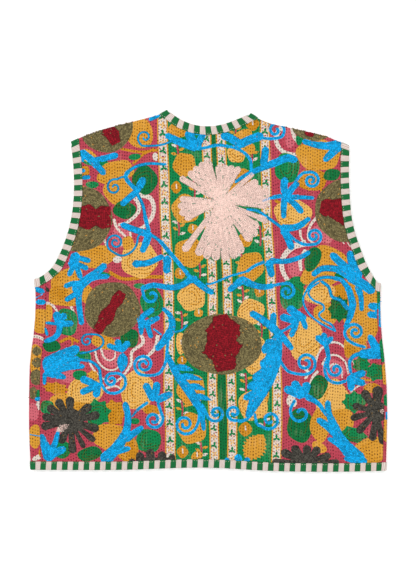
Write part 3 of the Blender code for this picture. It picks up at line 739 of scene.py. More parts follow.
def border_rows(outline):
    """Rows of points close inside an outline, so that the cloth can curve down to its edge."""
    ahead = np.roll(outline, -1, axis=0) - np.roll(outline, 1, axis=0)
    inward = left_of(ahead / np.maximum(np.linalg.norm(ahead, axis=1), FAINT)[:, None])
    if inside((outline + inward * 0.2)[:: len(outline) // 9], outline).mean() <= 0.5:
        inward = -inward
    found = []
    for row, distance in enumerate(BORDER_ROWS):
        points = (outline + inward * distance)[row % 2 :: 1 + row // 2]
        kept = inside(points, outline) & (gap_to_outline(points, outline) > 0.9 * distance)
        found.append(points[kept])
    return np.vstack(found)


def sheet_mesh(chart, heights, shapes, ground, grid_step=GRID_STEP):
    """A chart's face as triangles that no edge of the print crosses, with a dye for each triangle."""
    outline = chart.outline
    flat = outline[:, :2]
    low, high = flat.min(axis=0), flat.max(axis=0)
    columns = np.arange(low[0], high[0], grid_step)
    rows = np.arange(low[1], high[1], grid_step * GRID_ROW_SHARE)
    shifts = [k % 2 * grid_step / 2 for k in range(len(rows))]
    grid = np.array([(x + shift, y) for y, shift in zip(rows, shifts) for x in columns])
    grid = grid[inside(grid, flat)]
    grid = grid[gap_to_outline(grid, flat) > BORDER_CLEAR]
    places = [*flat, *grid]
    edges = []
    for shape in shapes:
        if (shape.border.max(axis=0) < low).any() or (shape.border.min(axis=0) > high).any():
            continue
        first, count = len(places), len(shape.border)
        places += list(shape.border)
        edges += [(first + k, first + (k + 1) % count) for k in range(count)]
    places += list(border_rows(flat))
    border = list(range(len(flat)))
    made = delaunay_2d_cdt([Vector(p) for p in places], edges, [border], 1, SAME_PLACE)
    points = np.array([tuple(p) for p in made[0]])
    faces = np.array(made[2])
    faces = faces[inside(points[faces].mean(axis=1), flat)]
    kept, numbers = np.unique(faces, return_inverse=True)
    points, faces = points[kept], numbers.reshape(faces.shape)
    rise, _ = heights.heights(points)
    on_rim = gap_to_outline(points, flat) < RIM_REACH
    rise[on_rim] = rim_heights(points[on_rim], outline)
    middles = points[faces].mean(axis=1)
    colours = np.empty((len(faces), 3))
    colours[:] = ground
    specks = np.zeros(len(faces))
    # Some shapes are painted shadows under threads, so a face's dye can be painted shade
    for shape in shapes:
        low, high = shape.border.min(axis=0), shape.border.max(axis=0)
        near = ((middles >= low) & (middles <= high)).all(axis=1).nonzero()[0]
        if len(near):
            hit = near[inside(middles[near], shape.border)]
            colours[hit] = shape.dye
            specks[hit] = shape.specks
    if chart.facing < 0:
        faces = faces[:, ::-1]
    return Sheet(np.column_stack([points, rise]), faces, colours, specks)


def make_object(name, points, faces, material):
    """A mesh object from points in millimetres."""
    mesh = bpy.data.meshes.new(name)
    points = np.array(points, float)
    points[:, 2] = np.maximum(points[:, 2], FLOOR_GAP)
    mesh.from_pydata(points * MM, [], np.asarray(faces).tolist())
    mesh.update()
    made = bpy.data.objects.new(name, mesh)
    bpy.context.scene.collection.objects.link(made)
    mesh.materials.append(material)
    mesh.shade_smooth()
    return made


def colour_faces(mesh, colours):
    """Gives each face its own dye, on its corners."""
    layer = mesh.color_attributes.new("dye", "FLOAT_COLOR", "CORNER")
    sizes = np.array([polygon.loop_total for polygon in mesh.polygons])
    corners = np.repeat(np.column_stack([colours, np.ones(len(colours))]), sizes, axis=0)
    layer.data.foreach_set("color", corners.astype(np.float32).ravel())


def apply_modifiers(thing):
    bpy.ops.object.select_all(action="DESELECT")
    thing.select_set(True)
    bpy.context.view_layer.objects.active = thing
    for modifier in list(thing.modifiers):
        bpy.ops.object.modifier_apply(modifier=modifier.name)
    thing.select_set(False)


CLOTH = 1.4
JOIN_REACH = 0.0001


def cloth_panel(name, sheets, material, nodes):
    """A panel's cloth: its printed faces joined, and given a thickness on their plain side."""
    firsts = np.cumsum([0, *(len(sheet.points) for sheet in sheets)])
    faces = np.vstack([sheet.faces + first for sheet, first in zip(sheets, firsts)])
    thing = make_object(name, np.vstack([sheet.points for sheet in sheets]), faces, material)
    colour_faces(thing.data, np.vstack([sheet.colours for sheet in sheets]))
    layer = thing.data.attributes.new("specks", "FLOAT", "FACE")
    specks = np.concatenate([sheet.specks for sheet in sheets])
    layer.data.foreach_set("value", specks.astype(np.float32))
    if len(sheets) > 1:
        weld = thing.modifiers.new("join", "WELD")
        weld.merge_threshold = JOIN_REACH
    wall = thing.modifiers.new("wall", "SOLIDIFY")
    wall.thickness = CLOTH * MM
    wall.offset = -1
    apply_modifiers(thing)
    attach(thing, "root")
    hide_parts(*nodes)
    return thing


# Chain-stitch embroidery

ROW = 1.75
LINK = 2.9
LINK_HEIGHT = 0.75
LINK_SHIFT, LINK_SCATTER = 0.25, 0.08
LINK_WIDTHS = (0.88, 1.12)
FINE = 0.8  # spacing of the points of a line of stitches
LEAST_HALF = 0.3
SHADE_BELOW = 0.4  # painted shadow: how light the cloth under a thread is painted, against the thread, so that the gaps between its links look shaded
# the specks mark of the painted shadow under threads; the cloth shader draws no wear or quilting dots
# there
THREAD_SHADOW_MARK = -1.0

# A thread's dye, how much its stitches differ, how much fuller than its table a stroke is sewn, and
# how many of its stitches show what lies beside them, in which dye
Thread = namedtuple("Thread", "dye wander fuller gaps gap_dye")
BLUE_THREAD = Thread(BLUE, 0.40, 1.12, 0.012, srgb(110, 150, 190))
OLIVE_THREAD = Thread(OLIVE, 0.55, 1.0, 0.018, srgb(190, 140, 66))
RED_THREAD = Thread(RED, 0.45, 1.0, 0.012, OLIVE)
PINK_THREAD = Thread(PINK, 0.13, 1.0, 0.035, srgb(150, 160, 140))
CHARCOAL_THREAD = Thread(CHARCOAL, 0.7, 1.1, 0.015, srgb(120, 92, 50))

Limb = namedtuple("Limb", "width end places")
Leaf = namedtuple("Leaf", "width places")
Curl = namedtuple("Curl", "px py radius turns start sense width tail")


class Stitches:
    """Links of thread that wait for the cloth below them."""

    def __init__(self):
        self.starts, self.ends, self.widths, self.dyes = [], [], [], []
        self.chance = np.random.default_rng(7)
        self.painted_shadows = []

    def chain(self, line, thread):
        """A row of links along a line of closely spaced points."""
        if len(line) < 2:
            return
        along = lengths_along(line)
        if along[-1] < LINK * 0.5:
            return
        count = max(1, round(along[-1] / LINK))
        cuts = np.linspace(0, along[-1], count + 1)
        shift = self.chance.uniform(-LINK_SHIFT, LINK_SHIFT, count + 1) * LINK
        shift[[0, -1]] = 0
        cuts = cuts + shift
        spots = np.stack([np.interp(cuts, along, line[:, k]) for k in (0, 1)], axis=1)
        spots += self.chance.normal(0, LINK_SCATTER, spots.shape)
        self.starts.append(spots[:-1])
        self.ends.append(spots[1:])
        self.widths.append(ROW * self.chance.uniform(*LINK_WIDTHS, count))
        shade = 1 + self.chance.uniform(-1, 1, (count, 1)) * thread.wander
        gap = self.chance.uniform(size=(count, 1)) < thread.gaps
        self.dyes.append(np.where(gap, np.array(thread.gap_dye), np.array(thread.dye) * shade))

    def rows(self, line, half, thread):
        """Rows side by side along a line, as many as its changing half width holds."""
        normal = left_of(headings(line))
        count = max(1, math.ceil(half.max() * 2 / ROW - 0.35))
        for k in range(count):
            offset = (k - (count - 1) / 2) * ROW
            kept = np.abs(offset) <= np.maximum(half - ROW * 0.3, ROW * 0.12)
            row = line + normal * offset
            for run in runs_of(kept):
                self.chain(row[run], thread)
        # the painted shadow under the stroke
        self.ground(line, normal, half, thread)

    def shade_under(self, border, thread):
        # painted shadow: a darker copy of the thread's dye, on the cloth under it
        self.painted_shadows.append(Print(border, tuple(SHADE_BELOW * c for c in thread.dye), THREAD_SHADOW_MARK))

    def ground(self, line, normal, half, thread):
        """The painted shadow under a stroke: darker cloth, as a shape for the print."""
        step = max(1, len(line) // max(4, int(lengths_along(line)[-1] / 4)))
        keep = sorted({*range(0, len(line), step), len(line) - 1})
        out = normal[keep] * np.maximum(half[keep] - 0.3, 0.25)[:, None]
        self.shade_under(np.vstack([line[keep] + out, (line[keep] - out)[::-1]]), thread)

    def limb(self, limb, thread):
        """A stroke of changing width with round ends."""
        line = smooth_path([place(*p) for p in limb.places], FINE)
        along = lengths_along(line)
        share = along / along[-1]
        half = (limb.width * (1 - share) + limb.end * share) * thread.fuller * PIXEL / 2
        line, half = round_ends(line, half)
        self.rows(line, half, thread)

    def leaf(self, leaf, thread):
        """A pointed stroke, widest a little before its middle."""
        line = smooth_path([place(*p) for p in leaf.places], FINE)
        share = lengths_along(line) / lengths_along(line)[-1]
        half = np.sin(math.pi * share**0.85) ** 0.75 * leaf.width * PIXEL / 2
        self.rows(line, np.maximum(half, LEAST_HALF), thread)

    def curl(self, curl, thread):
        """A scroll: a line that ends in a shrinking spiral."""
        count = int(curl.radius * curl.turns * 5)
        share = np.linspace(0, 1, count)
        reach = curl.radius * (1 - 0.80 * share**0.85)
        angle = np.radians(curl.start + curl.sense * 360 * curl.turns * share)
        spiral = np.stack([curl.px + reach * np.cos(angle), curl.py - reach * np.sin(angle)], axis=1)
        knots = [*curl.tail, *map(tuple, spiral[:: max(1, count // 14)])]
        line = smooth_path([place(*p) for p in knots], FINE)
        half = np.full(len(line), curl.width * PIXEL / 2)
        line, half = round_ends(line, half)
        self.rows(line, half, thread)

    def rings(self, shape, thread, holes=()):
        """Ring inside ring of stitches, to fill an outline that can be seen whole from its middle."""
        middle, reach_at = shape
        angles = np.linspace(0, math.tau, 160)
        reach = reach_at(angles)
        spokes = np.stack([np.cos(angles), np.sin(angles)], axis=1)
        count = int(reach.max() / ROW) + 1
        for k in range(count):
            inset = reach - ROW * (k + 0.5) * (0.6 + 0.4 * reach / reach.max())
            kept = inset > ROW * 0.4
            ring = middle + spokes * np.maximum(inset, 0)[:, None]
            for hole in holes:
                kept &= ~inside(ring, hole)
            for run in runs_of(kept):
                self.chain(ring[run], thread)
        # the painted shadow under the filled outline
        self.shade_under(middle + spokes[:-1:4] * (reach[:-1:4, None] - 0.4), thread)


def round_ends(line, half):
    """Lengthens a line by half of its width at both ends, and narrows it to round tips there."""
    first, last = half[0] * 0.8, half[-1] * 0.8
    ahead = headings(line)
    before = line[0] - ahead[0] * np.linspace(first, FINE / 2, max(2, int(first / FINE) + 1))[:, None]
    after = line[-1] + ahead[-1] * np.linspace(FINE / 2, last, max(2, int(last / FINE) + 1))[:, None]
    line = np.vstack([before, line, after])
    half = np.concatenate([np.full(len(before), half[0]), half, np.full(len(after), half[-1])])
    along = lengths_along(line)
    for gone, radius in ((along, half[0]), (along[-1] - along, half[-1])):
        share = np.clip(gone / max(radius, FAINT), 0, 1)
        half = np.minimum(half, np.where(share < 1, radius * np.sqrt(1 - (1 - share) ** 2), half))
    return line, half


def runs_of(kept):
    """Index ranges of the unbroken runs in a list of yes and no."""
    marks = np.flatnonzero(np.diff(np.concatenate([[0], kept.astype(int), [0]])))
    return [slice(a, b) for a, b in zip(marks[::2], marks[1::2]) if b - a > 1]


def lobed(px, py, across, along, lobes=0, depth=0.0, phase=0.0):
    """The middle of an outline, and how far it reaches at each angle, in millimetres."""

    def reach_at(angles):
        oval = across * along / np.hypot(along * np.cos(angles), across * np.sin(angles))
        return oval * (1 + depth * np.cos(lobes * angles + phase)) * PIXEL

    return place(px, py), reach_at


Spindle = namedtuple("Spindle", "places halves")
Roundel = namedtuple("Roundel", "outer heart")
ROUNDELS = (
    Roundel(
        lobed(112.5, 309.3, 28, 27.6, 5, 0.02, 1.0),
        Spindle(
            ((122.5, 292), (109, 313), (96.5, 332.5)),
            (4.2, 5.8, 6, 4.6, 5.6, 7.6, 7.6, 5.2, 5.6, 4.2),
        ),
    ),
    Roundel(
        lobed(221.6, 344.2, 40.5, 30.2, 6, 0.012, 2.0),
        Spindle(
            ((220, 315), (222.6, 330), (221.4, 341), (223, 352), (226, 370.5)),
            (6.8, 9.4, 16, 18.4, 14.4, 15.2, 20.8, 16, 11.6, 11, 9.4),
        ),
    ),
    Roundel(
        lobed(79, 218.7, 33.5, 33, 7, 0.012),
        Spindle(((76, 216), (94, 217.5), (111, 217)), (9, 11, 12.4, 12, 8.6, 10.8, 11.6, 11)),
    ),
    Roundel(
        lobed(345.5, 210.7, 31, 31.5, 7, 0.012),
        Spindle(((320, 207), (331, 208.6), (346, 211.5)), (5.5, 9.4, 9.2, 10, 12.5, 15.5)),
    ),
    Roundel(
        lobed(106.5, 126.5, 26.5, 26.5, 5, 0.012),
        Spindle(((103, 131), (111, 133), (116.5, 144)), (4, 7, 7.4, 6, 4.6)),
    ),
    Roundel(
        lobed(314, 127.5, 21.5, 13.5, 4, 0.03),
        Spindle(((304.5, 132.5), (313.5, 135.5)), (1.4, 2.8, 3, 1.6)),
    ),
)

Finger = namedtuple("Finger", "degrees reach width")
Bloom = namedtuple("Bloom", "px py hub base thread fingers")
PINK_BLOOM = Bloom(
    220.5, 202, 5.0, 2.5, PINK_THREAD,
    (
        Finger(136.5, 44, 8), Finger(126.5, 44, 8), Finger(116.5, 44.5, 8), Finger(107.5, 44, 7.5),
        Finger(92, 37.5, 8), Finger(82, 37.5, 8), Finger(72, 38.5, 7.5), Finger(62, 40, 6.5),
        Finger(41, 44, 6), Finger(29, 43, 8), Finger(20, 44, 6.5), Finger(12, 50, 8),
        Finger(3, 50, 8), Finger(-5, 47, 6.5), Finger(-22, 51, 6.6), Finger(-34, 46, 8.6),
        Finger(-43, 50, 9), Finger(-52, 50, 8.6), Finger(-67.5, 56, 9), Finger(-76, 59, 9.4),
        Finger(-85, 59.5, 9.4), Finger(-95, 59, 9.4), Finger(-104, 59, 9.4), Finger(-113, 58.5, 9.4),
        Finger(-127, 62, 7.6), Finger(176, 41, 7), Finger(186, 43, 7.5), Finger(196, 43, 7.5),
        Finger(206, 40, 6.5), Finger(149, 47.5, 7.2),
    ),
)
DARK_BLOOMS = (
    Bloom(
        70.5, 421, 13.0, 6.0, CHARCOAL_THREAD,
        (
            Finger(121, 25.5, 8.2), Finger(91, 24.5, 8.4), Finger(38, 26, 8.4), Finger(13, 30, 8.2),
            Finger(-16, 29.5, 8.2), Finger(-39, 31.5, 6.2), Finger(-62, 30, 5.4), Finger(-85, 32, 7.6),
            Finger(-114, 24, 8.4), Finger(147, 27, 8), Finger(170, 28.5, 7.8), Finger(191, 29.5, 8),
        ),
    ),
    Bloom(
        376, 411.5, 11.0, 5.0, CHARCOAL_THREAD,
        (
            Finger(86, 25.5, 10.5), Finger(122, 25, 8.6), Finger(165, 24.5, 7), Finger(195, 26.5, 6.8),
            Finger(228, 28, 7.6), Finger(262, 29.5, 7.4), Finger(282, 33, 7.2),
        ),
    ),
    Bloom(
        306, 463, 11.0, 5.0, CHARCOAL_THREAD,
        (
            Finger(177, 34, 6.6), Finger(154, 27.5, 8.2), Finger(128, 22, 8.4), Finger(87, 18, 8.6),
            Finger(51, 20.5, 8), Finger(19, 25.5, 7.6), Finger(3, 33, 5),
        ),
    ),
)
DARK_LOBES = (
    Limb(8, 8, ((140.4, 461), (140, 455))),
    Limb(8.2, 8.2, ((151.2, 461), (150.2, 451.8))),
    Limb(8.4, 8.4, ((161.8, 461), (162.2, 454.2))),
    Limb(6, 6, ((171.8, 460), (172.4, 456))),
    Limb(4, 4, ((139.9, 459), (171.8, 459))),
    Limb(4.6, 4.6, ((130.5, 461), (133.5, 460.4))),
    Limb(3.6, 3.6, ((44.5, 287.4), (48.6, 290.6))),
)

CURLS = (
    Curl(145, 137.6, 8.6, 1.15, 262, -1, 2.6, ((171, 142), (160, 145.4))),
    Curl(114.6, 187.6, 8.8, 1.25, 70, 1, 2.7, ((127, 177.5), (122, 177.2))),
    Curl(
        115.6, 242.4, 9.2, 1.55, 232, -1, 2.7,
        ((148, 233.5), (139, 235.6), (136.6, 245), (130.6, 252.6), (120.8, 255.6)),
    ),
    Curl(
        87.2, 340.6, 6.6, 1.3, 78, 1, 2.6,
        ((80.5, 353.4), (92.7, 350.8), (101.8, 346.2), (103.4, 339.8), (98.4, 335)),
    ),
    Curl(
        111.4, 380.2, 7.2, 1.35, 72, 1, 2.9,
        ((101.6, 384.4), (107.6, 392), (117, 392.8), (124.6, 387), (125, 378), (119.4, 373.6)),
    ),
    Curl(151.8, 295.6, 8.2, 0.95, 176, 1, 2.9, ((142, 288.4),)),
    Curl(144, 364.4, 11.2, 1.85, 283, -1, 3.0, ((168, 341), (166.9, 353), (165, 364), (158.6, 373.6))),
    Curl(153.8, 419.4, 10.2, 1.55, 42, -1, 3.2, ((157.8, 402.4),)),
    Curl(185, 424, 11.2, 1.5, -22, -1, 3.1, ((199.4, 410), (198.6, 421))),
    Curl(216.2, 413, 8.8, 1.35, 218, 1, 3.0, ((202.5, 404.5), (205.6, 412))),
    Curl(234, 412.2, 8.6, 1.25, 290, -1, 3.1, ((248.4, 418.4), (241.4, 420.8))),
    Curl(269.8, 419.6, 10.4, 1.35, 222, 1, 3.0, ((254.8, 414), (256.6, 423))),
    Curl(275.6, 130.6, 8.6, 1.15, 8, 1, 3.0, ((259, 138.2), (272, 138.9), (282, 136.6))),
    Curl(311, 180.6, 9.0, 1.55, 118, -1, 3.0, ((292.6, 190), (296.6, 180), (302.4, 173.6))),
    Curl(313.8, 236, 8.6, 1.5, 262, 1, 2.9, ((286, 230.6), (293, 238.4), (303, 244.2))),
    Curl(286.6, 291.8, 8.6, 1.35, 82, -1, 3.5, ((266, 286.8), (278, 284.4))),
    Curl(305.4, 362.8, 11.8, 1.6, 258, 1, 3.0, ((276.5, 353), (281.8, 363.4), (289, 371.6))),
    Curl(335.6, 369.4, 7.6, 1.2, 170, 1, 3.2, ((328.6, 358), (327.6, 364))),
    Curl(
        355, 332, 8.4, 1.3, 128, -1, 3.0,
        ((364.8, 347.2), (353.4, 343.6), (346.2, 338), (344.6, 330.6)),
    ),
    Curl(300.4, 413, 11.0, 1.1, 148, 1, 3.1, ((294.6, 400.4),)),
)

# Blue stems, arms and petals: the width at each end, and where the stroke runs, in pixels
BLUE_LIMBS = (
    # under the neck
    Limb(6, 8.5, ((167.6, 136), (180, 142.4), (194.5, 147.4))),
    Limb(8, 7, ((188.6, 134), (195.6, 147))),
    Limb(6, 8, ((203, 134.6), (196.4, 147))),
    Limb(4, 4, ((187, 133), (204, 133.4))),
    Limb(
        2.9, 2.7,
        ((198, 149.4), (206, 147.8), (219, 145.4), (238.3, 149.6), (249.6, 159), (251.6, 171)),
    ),
    Limb(7.5, 8.5, ((223.5, 136), (231, 139), (240, 145))),
    Limb(8, 7.5, ((240, 144.6), (250, 140), (260.4, 136.4))),
    Limb(4.4, 4.4, ((150.6, 119.6), (158.6, 115.8))),
    # the upper left
    Limb(7, 6.2, ((82.6, 153), (92, 160.6), (103.6, 172.8))),
    Limb(5.2, 6, ((93, 160.4), (105, 158.4), (116, 155.6))),
    Limb(5, 5, ((82.4, 153), (82.6, 160.4))),
    Limb(4.4, 4.4, ((84, 178), (89, 177.4))),
    Limb(4, 4, ((83, 171), (84, 171))),
    Limb(6.6, 6, ((143.2, 180), (136.4, 191.6), (130, 197.4), (123, 203.6))),
    Limb(
        2.7, 4,
        ((165.6, 164.6), (148, 163.8), (134.8, 167.4), (126.4, 174.4), (127.4, 180.6), (136, 190)),
    ),
    Limb(3.4, 3.6, ((137.3, 194), (143, 205.6), (145.6, 218.6), (149, 231.6))),
    Limb(3.4, 4, ((150, 234), (160.3, 241.6), (171.8, 255), (182, 267), (190, 277))),
    Limb(6, 6.6, ((123, 225.2), (134.8, 229.8), (149, 234.4))),
    Limb(7.2, 6, ((148.4, 236), (146, 243), (142.8, 250.4))),
    Limb(6.6, 5.2, ((135, 263.9), (147.6, 263), (161.8, 256.8))),
    Limb(7.6, 7, ((167.3, 258.6), (166.7, 270.8))),
    Limb(9, 9, ((76, 256), (73, 265))),
    Limb(5, 5.4, ((76, 257), (88.6, 260.6))),
    Limb(5, 5.4, ((77, 264), (86.6, 268.2))),
    Limb(5, 4.6, ((74, 266), (69.6, 274.6))),
    Limb(5, 5, ((77, 267), (80.6, 277))),
    Limb(6.2, 9.6, ((104.6, 265.6), (95.3, 273.8), (85, 281.6), (76.6, 289))),
    Limb(4.6, 5, ((107.6, 276.6), (98, 277), (90, 279.6))),
    Limb(4.8, 5, ((66, 286), (74, 283.4), (80, 283.6))),
    Limb(4.6, 6.6, ((142.6, 288.2), (153.9, 285.2), (170.5, 287.6), (182, 285.2), (192, 278.4))),
    Limb(6.6, 5.4, ((193, 278.6), (203.6, 287.4), (211.6, 292.4))),
    Limb(2.2, 2.2, ((206, 284), (213, 283.2), (230.6, 276), (247.2, 271.4))),
    # the left side
    Limb(6.6, 5.2, ((80.6, 286), (79, 297), (79.6, 308), (81.8, 323))),
    Limb(5.4, 5.2, ((79, 292), (67, 299.6))),
    Limb(7.4, 6.4, ((56.6, 314.4), (58.3, 322))),
    Limb(6.6, 6, ((64.2, 315.6), (59.5, 322))),
    Limb(5.8, 6.6, ((71.4, 323.4), (60.8, 323.8))),
    Limb(3.2, 3.4, ((46.8, 322.7), (57, 324))),
    Limb(6.4, 4.4, ((60, 326), (58.6, 333), (54, 338), (46, 341))),
    Limb(3.2, 3.4, ((45.6, 328.6), (47.4, 334.4))),
    Limb(17, 8.4, ((50, 365), (62, 357), (76.4, 348.8))),
    Limb(13, 9, ((52, 366), (64, 362.6), (77, 360.4))),
    Limb(13, 4.6, ((50, 369), (68, 366), (83, 366.4))),
    Limb(11, 4.4, ((49, 371), (57, 374.6), (64.6, 377.2))),
    Limb(4.6, 3.6, ((45, 374), (44.6, 383))),
    Limb(3.0, 3.4, ((80, 359.6), (91.4, 361.6), (99, 368), (100.6, 377), (101.6, 384))),
    Limb(7.2, 6, ((83.4, 379.2), (96.5, 384.4))),
    Limb(6.4, 6, ((82.8, 391.8), (95.3, 386.5))),
    Limb(7.4, 6.6, ((96.4, 394.4), (98, 385))),
    Limb(5.4, 5, ((109, 345.6), (119.5, 349.6))),
    Limb(6.2, 5.2, ((117.6, 341.4), (120.8, 350.2))),
    Limb(6.2, 5.4, ((127.8, 343.2), (122, 350.4))),
    Limb(5.2, 6.4, ((152.4, 310), (146, 314), (139.6, 319.8))),
    Limb(5.2, 6, ((158, 318), (146.3, 323.4))),
    Limb(7.6, 4, ((141.6, 321), (141.2, 333.4))),
    Limb(5.6, 5, ((147.2, 325), (151, 336.4))),
    Limb(1.6, 1.6, ((153.6, 328.7), (161.6, 334.8))),
    Limb(3.6, 8, ((163.2, 308.6), (170, 315.4), (172.4, 325.6), (169, 334.4))),
    Limb(8, 6, ((168, 335.6), (163, 342), (157.6, 348.4))),
    Limb(1.6, 1.6, ((174.3, 332.3), (182, 329.7), (187, 324.6))),
    Limb(5, 9.5, ((167.6, 356), (176.9, 374), (189.6, 391))),
    Limb(9.5, 4, ((189.6, 391), (199.4, 407.6), (202.4, 419), (203.8, 429))),
    Limb(7, 6.6, ((146.2, 385.6), (152.7, 398.4))),
    Limb(7.4, 7, ((156.9, 384.6), (155.4, 397.3))),
    Limb(6.4, 6.6, ((170, 394.2), (157.8, 399.6))),
    Limb(2.8, 2.4, ((147.6, 402.4), (138.6, 408.8), (132.6, 416))),
    Limb(5.4, 7.6, ((125.4, 403.6), (128.2, 417.6), (126.4, 432))),
    Limb(8, 12, ((126.4, 432), (118, 446), (106, 458.6))),
    Limb(5.2, 7.4, ((141.6, 427.4), (134, 433), (127.1, 438.4))),
    Limb(5, 6.6, ((128.6, 448.2), (113, 452.4))),
    Limb(5, 12, ((42, 435.6), (45.5, 445.8), (50, 455.6))),
    Limb(4.2, 7, ((58.2, 432.4), (54.8, 444.2), (50, 451))),
    Limb(6.4, 8.6, ((63.6, 448.8), (51.9, 454.2))),
    # the middle and right
    Limb(3, 6.8, ((235.7, 182.3), (243, 177), (252, 172.4), (264, 167.4), (273, 163.6))),
    Limb(6.6, 6.6, ((273, 163.6), (287, 158.4), (294.6, 159.8))),
    Limb(7, 7.2, ((265.6, 149.6), (263.6, 163.6))),
    Limb(5.4, 7, ((304.2, 141.6), (314.8, 144.8), (326, 146.4))),
    Limb(7, 9, ((326, 146.4), (338, 144.8))),
    Limb(9, 6, ((337.6, 147), (331, 154), (325.4, 159.6))),
    Limb(6.6, 6.8, ((284.6, 180), (283.8, 188), (286, 195.4))),
    Limb(6, 5.4, ((287, 196), (292.6, 188), (297, 184.4))),
    Limb(5, 3.8, ((288, 197.4), (300, 197.4), (312.6, 198))),
    Limb(5.4, 5.6, ((288, 199.4), (295, 204.6), (301, 211.4))),
    Limb(6, 5.2, ((284.4, 198), (283.6, 207), (283.6, 216.4))),
    Limb(4, 3, ((281, 196), (271, 198.2), (263, 200.8))),
    Limb(2.7, 3.4, ((247.2, 209.7), (257.4, 211), (268.9, 218.6), (281.6, 227.6))),
    Limb(7.6, 4.8, ((283, 228.6), (297, 226.8), (308.4, 219.2))),
    Limb(7.6, 6.4, ((284, 230.6), (288, 239), (291.2, 247.4))),
    Limb(4.4, 5.6, ((308.6, 252.4), (300.8, 257), (286.7, 261.2), (270.6, 261))),
    Limb(7.6, 6.6, ((268.9, 263), (271.4, 274.6))),
    Limb(3.0, 2.8, ((264, 262), (254.8, 265.8), (247.2, 271.4))),
    Limb(5.6, 7, ((229.8, 289.6), (236, 284.6), (242, 280))),
    Limb(7, 5, ((242, 279.4), (251, 284), (262, 287), (272, 286))),
    Limb(6.4, 9, ((332.4, 255.2), (344, 266.4), (356, 277))),
    Limb(7, 10, ((349.6, 253.4), (352.4, 264), (357, 276))),
    Limb(5.6, 7, ((313.6, 274.2), (322.4, 268.6), (337.8, 269.6), (350.5, 277.6))),
    Limb(9, 9, ((350.5, 277.6), (362, 284), (371, 290))),
    Limb(6, 6, ((344, 268), (352, 272))),
    Limb(3.2, 3.6, ((307, 289.6), (311.6, 283.6), (319.6, 278.4), (328.8, 277.3), (341.6, 280))),
    Limb(4.4, 7.4, ((341.6, 280), (348.6, 290), (352.6, 304))),
    Limb(7.4, 4, ((352.6, 304), (350, 316), (345, 327))),
    Limb(3.2, 3.6, ((321, 281.2), (328.4, 287), (331.8, 296.6), (340.3, 300.4), (347.6, 309))),
    Limb(6, 4.4, ((357.4, 287), (360.6, 297), (361.4, 309.4))),
    Limb(
        2.2, 2.2,
        ((307, 289.6), (303, 299), (305.9, 309.3), (313.5, 318.3), (325, 325.9), (335.2, 331)),
    ),
    Limb(
        2.2, 2.2,
        (
            (335.2, 331), (331.4, 324.6), (322.4, 319.5), (318.6, 314.4), (323.7, 309.3),
            (322, 304.2), (313.5, 300.4), (308.4, 294), (311, 287.7), (318.6, 282.6),
        ),
    ),
    Limb(6.4, 6.6, ((370.4, 305.8), (376.4, 307))),
    Limb(6, 6, ((369.2, 314.2), (378, 315.6))),
    Limb(4.6, 4.6, ((376.6, 308), (377.6, 314))),
    Limb(2.6, 2.6, ((379, 317), (379.6, 326))),
    Limb(6.4, 7.4, ((252, 313.4), (262, 319.4), (272, 327))),
    Limb(7.8, 5.2, ((272, 327), (282, 336.6), (291.2, 348))),
    Limb(6.2, 6.4, ((273.4, 315), (272.7, 325))),
    Limb(2.6, 2.6, ((293, 324), (287, 328.6), (281, 331.6))),
    Limb(8, 7.4, ((290, 309), (300.4, 318))),
    Limb(6.6, 6, ((297.4, 314), (303.8, 317.6))),
    Limb(7, 6.6, ((282.6, 317), (294.4, 320.8))),
    Limb(5.6, 5.4, ((296.4, 319.4), (294.6, 327), (291.4, 335))),
    Limb(4.8, 4.6, ((301.6, 317.6), (305.6, 327.4))),
    Limb(9, 16, ((277.6, 337), (275.6, 348), (273, 360))),
    Limb(16, 15, ((273, 360), (266.6, 377), (259.6, 391))),
    Limb(15, 6.4, ((259.6, 391), (254, 403), (248.4, 415.6))),
    Limb(7.6, 8, ((264.6, 350.4), (270, 342))),
    Limb(8, 9, ((263, 364), (273, 357))),
    Limb(7.4, 9, ((255.4, 377.4), (267, 370))),
    Limb(6.4, 9, ((249.6, 386.6), (262, 380))),
    Limb(6, 9, ((245.6, 397.6), (258, 392))),
    Limb(6.2, 5.4, ((317.6, 337.4), (325, 343.8))),
    Limb(5.8, 5.2, ((323.7, 334.8), (325.6, 343.8))),
    Limb(4.8, 4.8, ((331.2, 338.2), (325.6, 344.2))),
    Limb(5.4, 4, ((325.2, 343), (327.4, 351.4), (328.6, 359))),
    Limb(3.2, 3.2, ((327, 358), (324.6, 369.3), (328, 379.2), (337, 383), (345.4, 380.8))),
    Limb(6.6, 7.6, ((363, 372.8), (351.8, 377.4))),
    Limb(6.2, 7.6, ((362.8, 383), (351.8, 379.5))),
    Limb(6, 9, ((350.8, 388.4), (351, 378.2))),
    Limb(3, 4.6, ((350.5, 372.8), (349.4, 361.6), (354.3, 355.4), (363.3, 353))),
    Limb(8, 12, ((361.6, 353.6), (370, 353.6), (379, 352.4))),
    Limb(6, 9, ((369.8, 337), (375.8, 348))),
    Limb(7.4, 8, ((286.8, 389), (300.8, 395))),
    Limb(8, 8, ((294.6, 383.8), (300.8, 393.6))),
    Limb(8, 8, ((306.6, 385), (303.4, 394.6))),
    Limb(6, 3, ((307, 396.6), (318.6, 403.9), (326, 415.2))),
    Limb(5.6, 7, ((327.6, 402.4), (328.8, 414), (334.8, 427))),
    Limb(8.4, 14.5, ((333, 425), (341.6, 442), (357.6, 459))),
    Limb(6, 8.4, ((318.8, 420), (327, 425.6), (335, 433))),
    Limb(4, 8, ((328.6, 438.6), (339, 443))),
    Limb(5.2, 8, ((345.6, 458), (363.3, 461))),
    Limb(3.6, 3.6, ((225.6, 459.6), (228, 459))),
    Limb(7, 7, ((237.8, 456.6), (238.6, 459.6))),
    Limb(4.6, 4.6, ((246, 459.6), (248, 459.2))),
)
